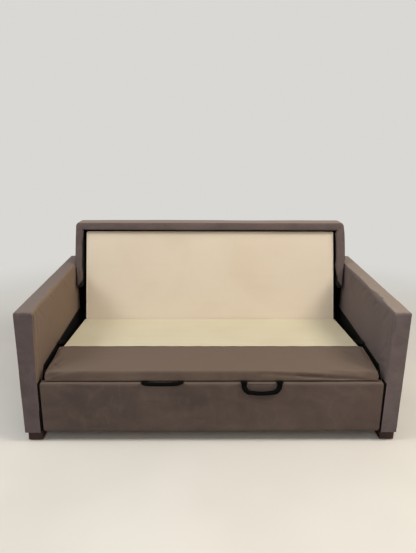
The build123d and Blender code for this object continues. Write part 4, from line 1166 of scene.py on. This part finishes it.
# Dust cloths behind the panel
def make_dust_cloths():
    """Black cloth on the front of the back board and round both posts."""
    board_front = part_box("outside_back_board")[0].y
    wing_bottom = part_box("right_wing_cover")[0].z
    post_lo, post_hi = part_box("right_back_post")
    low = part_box("rear_base_rail")[1].z + MM
    half = post_lo.x - 2 * MM
    xs = np.linspace(-half, half, 120)
    zs = np.linspace(low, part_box("top_rail_cover")[0].z - 2 * MM, 60)
    points = np.array([(x, board_front - 2.5 * MM, z) for x in xs for z in zs])
    points[:, 1] += 0.9 * MM * ripple(points, 3.0, 77, 2)
    obj = make_mesh("back_dust_cloth", points, grid_quads(len(xs), len(zs), flip=True), LINING)
    thicken(obj, 0.8 * MM)
    dress(obj, "sofa_frame")
    co = node_points("right_back_post")
    gap = 1.2 * MM
    y_front = co[co[:, 2] < wing_bottom - 20 * MM][:, 1].min() - gap
    y_back = board_front - 4 * MM
    x_in, x_out = post_lo.x - gap, post_hi.x + gap
    line = [(x_out, y) for y in np.linspace(y_back, y_front, 7)]
    line += [(x, y_front) for x in np.linspace(x_out, x_in, 6)[1:]]
    line += [(x_in, y) for y in np.linspace(y_front, y_back, 7)[1:]]
    zs = np.linspace(low, wing_bottom - MM, 40)
    for side, sign in SIDES:
        points = np.array([(sign * x, y, z) for x, y in line for z in zs])
        points[:, :2] += 0.3 * MM * ripple(points, 9.0, 78, 2)[:, None]
        faces = grid_quads(len(line), len(zs))
        faces = faces if sign > 0 else turned(faces)
        obj = make_mesh(f"{side}_post_cloth", points, faces, LINING)
        thicken(obj, 0.6 * MM)
        dress(obj, "sofa_frame")


make_dust_cloths()


# Mattresses
def make_mattress(node_name, body, name, seed, step):
    """Ticking over foam: a crowned block with a taped edge round its face."""
    crown, ease, edge = 4 * MM, 8 * MM, 5 * MM
    sides = frame["nodes"][node_name].data.polygons
    broad = max((p for p in sides if abs(p.normal.x) < 0.1), key=lambda p: p.area)
    up = -np.array(broad.normal)
    axes = np.array(((1, 0, 0), np.cross(up, (1, 0, 0)), up))
    local = node_points(node_name) @ axes.T
    lo, hi = local.min(0), local.max(0)
    high = hi - (0, 0, crown)
    points, faces = block_grid(
        cuts(lo[0], hi[0], step, ease), cuts(lo[1], hi[1], step, ease),
        cuts(lo[2], high[2], 11 * MM, ease),
    )
    points = round_block(points, lo, high, (edge, edge, 3 * MM), (edge,) * 3)

    def arch(v):
        share = (v - lo[1]) / (hi[1] - lo[1])
        return 4 * share * (1 - share) * crown

    rise = (points[:, 2] - lo[2]) / (high[2] - lo[2])
    points[:, 2] += arch(points[:, 1]) * rise
    obj = make_mesh(name, points @ axes, faces, TICKING)
    inflate(obj, 2.0, 1.6 * MM)
    co = per_vertex(obj, "co")
    shift = 0.6 * MM * ripple(co, 1.6, seed, 2)
    away = np.minimum(points[:, :2] - lo[:2], hi[:2] - points[:, :2]).min(1)
    on_face = np.clip((rise - 0.6) / 0.3, 0, 1)
    shift -= 0.7 * MM * bell(away - 11 * MM, 5 * MM) * on_face
    put_coordinates(obj, co + per_vertex(obj, "normal") * shift[:, None])
    obj.data.shade_smooth()
    dress(obj, body, [node_name])
    (x0, v0), (x1, v1) = lo[:2] + 2.0 * MM, hi[:2] - 2.0 * MM
    flat = rounded_rectangle(x0, x1, v0, v1, 10 * MM, 6)
    path = even_loop([(x, v, high[2] - 1.2 * MM) for x, v in flat], 12 * MM)
    path[:, 2] += arch(path[:, 1])
    dress(tube(f"{name}_tape", path @ axes, 2.4 * MM, TAPE, True), body)


make_mattress("head_mattress", "head_section", "head_mattress_ticking", 71, 14 * MM)
make_mattress("base_mattress", "bed_base", "base_mattress_ticking", 72, 20 * MM)
make_mattress("foot_mattress", "seat_deck", "foot_mattress_ticking", 73, 20 * MM)


# Decking and straps
def make_decking():
    co = node_points("rear_decking")
    lo, hi = co.min(0), co.max(0)
    rear_z = co[co[:, 1] > hi[1] - 3 * MM][:, 2].max()
    xs = np.linspace(lo[0], hi[0], 190)
    ys = np.linspace(lo[1] - 2 * MM, hi[1] - 1.5 * MM, 62)
    points = np.array([
        (x, y, hi[2] + (rear_z - hi[2]) * (y - lo[1]) / (hi[1] - lo[1])) for x in xs for y in ys
    ])
    u, v = np.clip((points[:, :2] - lo[:2]) / (hi[:2] - lo[:2]), 0, 1).T
    x = points[:, 0]
    edge = np.minimum(np.abs(x - lo[0]), np.abs(x - hi[0]))
    points[:, 2] -= 2.2 * MM * np.sin(np.pi * u) ** 0.5 * np.sin(np.pi * v)
    points[:, 2] += 0.5 * MM * ripple(points, 3.0, 81, 2)
    points[:, 2] += 0.5 * MM * np.sin(x * 62 + 1.5 * np.sin(x * 7)) * (1 - v) ** 3
    points[:, 2] -= 2.5 * MM * bell(edge, 3 * MM)
    n = len(ys)
    faces = grid_quads(len(xs), n, flip=True)
    points = list(map(tuple, points))
    drops = np.linspace(0, 22 * MM, 6)[1:]

    def flap(base, out):
        """Edge of the cloth, turned down."""
        previous = base
        for d in drops:
            row = list(range(len(points), len(points) + len(base)))
            for index in base:
                x, y, z = points[index]
                wave = 0.6 * MM * math.sin(x * 40 + y * 55) * d / drops[-1]
                points.append((x + out[0] * (0.4 * MM + wave), y + out[1] * (d + wave), z - d))
            for a in range(len(base) - 1):
                faces.append((previous[a], row[a], row[a + 1], previous[a + 1]))
            previous = row

    last = (len(xs) - 1) * n
    flap(list(range(n)), (-1, 0))
    flap(list(range(last + n - 1, last - 1, -1)), (1, 0))
    flap(list(range(n - 1, last + n, n)), (0, -0.3))
    obj = make_mesh("decking_cloth", points, faces, DECKING)
    thicken(obj, 1.6 * MM)
    dress(obj, "seat_deck", ["rear_decking"])


make_decking()


def make_straps():
    co = node_points("deck_webbing")
    order = co[np.argsort(co[:, 1])]
    groups = np.split(order, np.nonzero(np.diff(order[:, 1]) > 8 * MM)[0] + 1)
    # Edges of a strap come in pairs
    edges = sorted(g[:, 1].min() for g in groups)
    half = co[:, 0].max()
    columns, across = 60, 5
    points, faces = [], []
    for low, high in zip(edges[0::2], edges[1::2]):
        z_low, z_high = (co[np.abs(co[:, 1] - y) < MM][:, 2].max() for y in (low, high))
        faces += grid_quads(columns + 1, across + 1, flip=True, first=len(points))
        for i in range(columns + 1):
            sag = 2.0 * MM * math.sin(math.pi * i / columns)
            for j in range(across + 1):
                t = j / across
                z = z_low + (z_high - z_low) * t - sag + 0.2 * MM * math.cos(2 * math.pi * t)
                points.append((-half + 2 * half * i / columns, low + (high - low) * t, z))
    obj = make_mesh("deck_straps", points, faces, STRAP)
    thicken(obj, 1.4 * MM)
    dress(obj, "seat_deck", ["deck_webbing"])


make_straps()

# Pull loops, in their own flat plane: across from the middle, and down from the pin
LOOP_STRAP, LOOP_GRIP, LOOP_CORNER, LOOP_BOW = 25 * MM, 17 * MM, 46 * MM, 4 * MM
RAISED = {"left": math.radians(106), "right": 0.0}
PIN_RADIUS, FOLD_RADIUS, FOLD_GAP = 2.2 * MM, 4.3 * MM, 0.4 * MM


def make_handle(side):
    """Folded webbing loop: two straps and a rounded grip, with folds round the pins."""
    lo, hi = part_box(f"{side}_handle")
    hanging_lo, hanging_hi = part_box("right_handle")
    half_width = (hi.x - lo.x) / 2
    edge = -half_width
    pin_z = hanging_hi.z - 4 * MM
    low = pin_z - hanging_lo.z - LOOP_BOW
    pivot = Vector(((lo.x + hi.x) / 2, ARM_FRONT - 5 * MM, pin_z))
    sin, cos = math.sin(RAISED[side]), math.cos(RAISED[side])
    down, face = np.array((0, -sin, -cos)), np.array((0, -cos, sin))
    rim = LOOP_CORNER - LOOP_GRIP
    outer_x, inner_x = edge + LOOP_CORNER, edge + LOOP_STRAP + rim
    inner_low = low - LOOP_GRIP
    falls = np.linspace(0, 1, 8)[:-1]
    outer_path = [(edge, t * (low - LOOP_CORNER)) for t in falls]
    outer_path += arc((outer_x, low - LOOP_CORNER), LOOP_CORNER, 180, 90, 17)
    inner_path = [(edge + LOOP_STRAP, t * (inner_low - rim)) for t in falls]
    inner_path += arc((inner_x, inner_low - rim), rim, 180, 90, 17)
    for t in np.linspace(0, 1, 20)[1:]:
        dip = LOOP_BOW * math.sin(t * math.pi / 2)
        outer_path.append((outer_x * (1 - t), low + dip))
        inner_path.append((inner_x * (1 - t), inner_low + dip))
    outer_path += [(-x, d) for x, d in outer_path[-2::-1]]
    inner_path += [(-x, d) for x, d in inner_path[-2::-1]]
    ring, points = 20, []
    for a, b in zip(np.array(outer_path), np.array(inner_path)):
        mid, half = (a + b) / 2, (b - a) / 2
        swell = np.clip((mid[1] - 0.022) / 0.024, 0, 1)
        thick, lift = (2.2 + 7.2 * swell) * MM, 4.2 * MM * swell
        for c, s in circle(ring):
            c, s = math.copysign(abs(c) ** 0.62, c), math.copysign(abs(s) ** 0.8, s)
            across, fall = mid + half * c
            out = face * (thick * s + lift)
            points.append(np.array(pivot) + (across, 0, 0) + down * fall + out)
    count = len(outer_path)
    faces = grid_quads(count, ring, ring=True)
    faces += [tuple(range(ring)), tuple(range(count * ring - 1, (count - 1) * ring - 1, -1))]
    obj = make_mesh(f"{side}_loop_webbing", points, faces, HANDLE)
    body = f"{side}_pull_loop"
    dress(obj, body, [f"{side}_handle"])
    # Folds of the webbing round the anchor pins
    reach = LOOP_STRAP / 2 - FOLD_GAP
    for name, end in (("a", -1), ("b", 1)):
        middle = pivot.x + end * (half_width - LOOP_STRAP / 2)
        left, right = middle - reach, middle + reach
        rows = ((left, FOLD_RADIUS), (right, FOLD_RADIUS), (right, PIN_RADIUS), (left, PIN_RADIUS))
        points = [(x, pivot.y + r * c, pivot.z + r * s) for x, r in rows for c, s in circle(16)]
        faces = grid_quads(len(rows), 16, ring=True, loop=True)
        fold = make_mesh(f"{side}_loop_fold_{name}", points, faces, HANDLE)
        dress(fold, body)


for side, _ in SIDES:
    make_handle(side)

# Rigid pieces
slots = {
    "frame_wood": FRAME_WOOD, "plywood": PLY, "foot_wood": FOOT_WOOD, "nylon": NYLON,
    "zinc_steel": ZINC, "black_steel": BLACK_STEEL, "tip_rubber": RUBBER,
    "upholstery": UPHOLSTERY, "dark_lining": LINING, "mattress_cloth": TICKING,
    "decking_cloth": DECKING, "black_webbing": STRAP,
}
for entry in frame["record"]["subparts"]:
    materials = frame["nodes"][entry["node"]].data.materials
    materials.clear()
    materials.append(POST_WOOD if entry["node"] in DARK_WOOD else slots[entry["material_slot"]])

# Floor, backdrop and light
BACKDROP = "d9d8d4"


def make_stage():
    rings, spokes, below = (0.0, 1.5, 3.0, 6.0, 12.0, 25.0), 48, 0.5 * MM
    points = [(r * c, r * s, -below) for r in rings for c, s in circle(spokes)]
    f = Finish("pale_floor", 0.75, Specular_IOR_Level=0.15)
    mat = f.finish(f.tint("dbd6cd", "d6d1c8", f.noise(0.9, 3.0), 0.4, 0.6))
    far = f.add("ShaderNodeVectorMath", operation="LENGTH")
    f.feed(far.inputs[0], f.place)
    glow = f.fill(f.add("ShaderNodeEmission"), Color=BACKDROP)
    share = f.math("MULTIPLY", f.ramp(far.outputs["Value"], 1.4, 3.6), f.backdrop_rays())
    f.blend(share, f.shader.outputs[0], glow.outputs[0], "Material Output")
    faces = grid_quads(len(rings), spokes, ring=True, flip=True)
    make_mesh("floor", points, faces, mat)


make_stage()


def area_light(name, place, target, size, power, colour):
    data = bpy.data.lights.new(name, "AREA")
    data.shape = "RECTANGLE"
    data.size, data.size_y = size
    data.energy, data.color = power, colour
    obj = bpy.data.objects.new(name, data)
    bpy.context.scene.collection.objects.link(obj)
    obj.location = place
    obj.rotation_mode = "QUATERNION"
    obj.rotation_quaternion = (Vector(target) - Vector(place)).to_track_quat("-Z", "Y")


area_light("left", (-2.95, -1.5, 3.0), (-0.4, 0, 0.4), (1.2, 1.2), 62, (0.90, 0.95, 1.0))
area_light("right", (2.75, -1.4, 3.3), (0.4, 0, 0.4), (1.2, 1.2), 90, (1.0, 0.93, 0.83))
area_light("front", (0.4, -3.6, 2.4), (0, 0, 0.4), (2.8, 2.0), 36, (1.0, 0.98, 0.97))
area_light("top", (0.0, -1.1, 3.6), (0, 0, 0), (3.5, 2.2), 41, (1.0, 0.98, 0.95))
area_light("rear", (0.0, 4.0, 2.8), (0, 0, 0.5), (3.0, 2.0), 38, (1.0, 1.0, 1.0))


def make_world():
    world = bpy.data.worlds.new("world")
    bpy.context.scene.world = world
    world.use_nodes = True
    w = Nodes(world.node_tree)
    light = w.fill(w.tree.nodes["Background"], Color="e9e8e6", Strength=0.24)
    shown = w.fill(w.add("ShaderNodeBackground"), Color=BACKDROP, Strength=1.0)
    w.blend(w.backdrop_rays(), light.outputs[0], shown.outputs[0], "World Output")


make_world()
bpy.context.scene.view_settings.view_transform = "Standard"
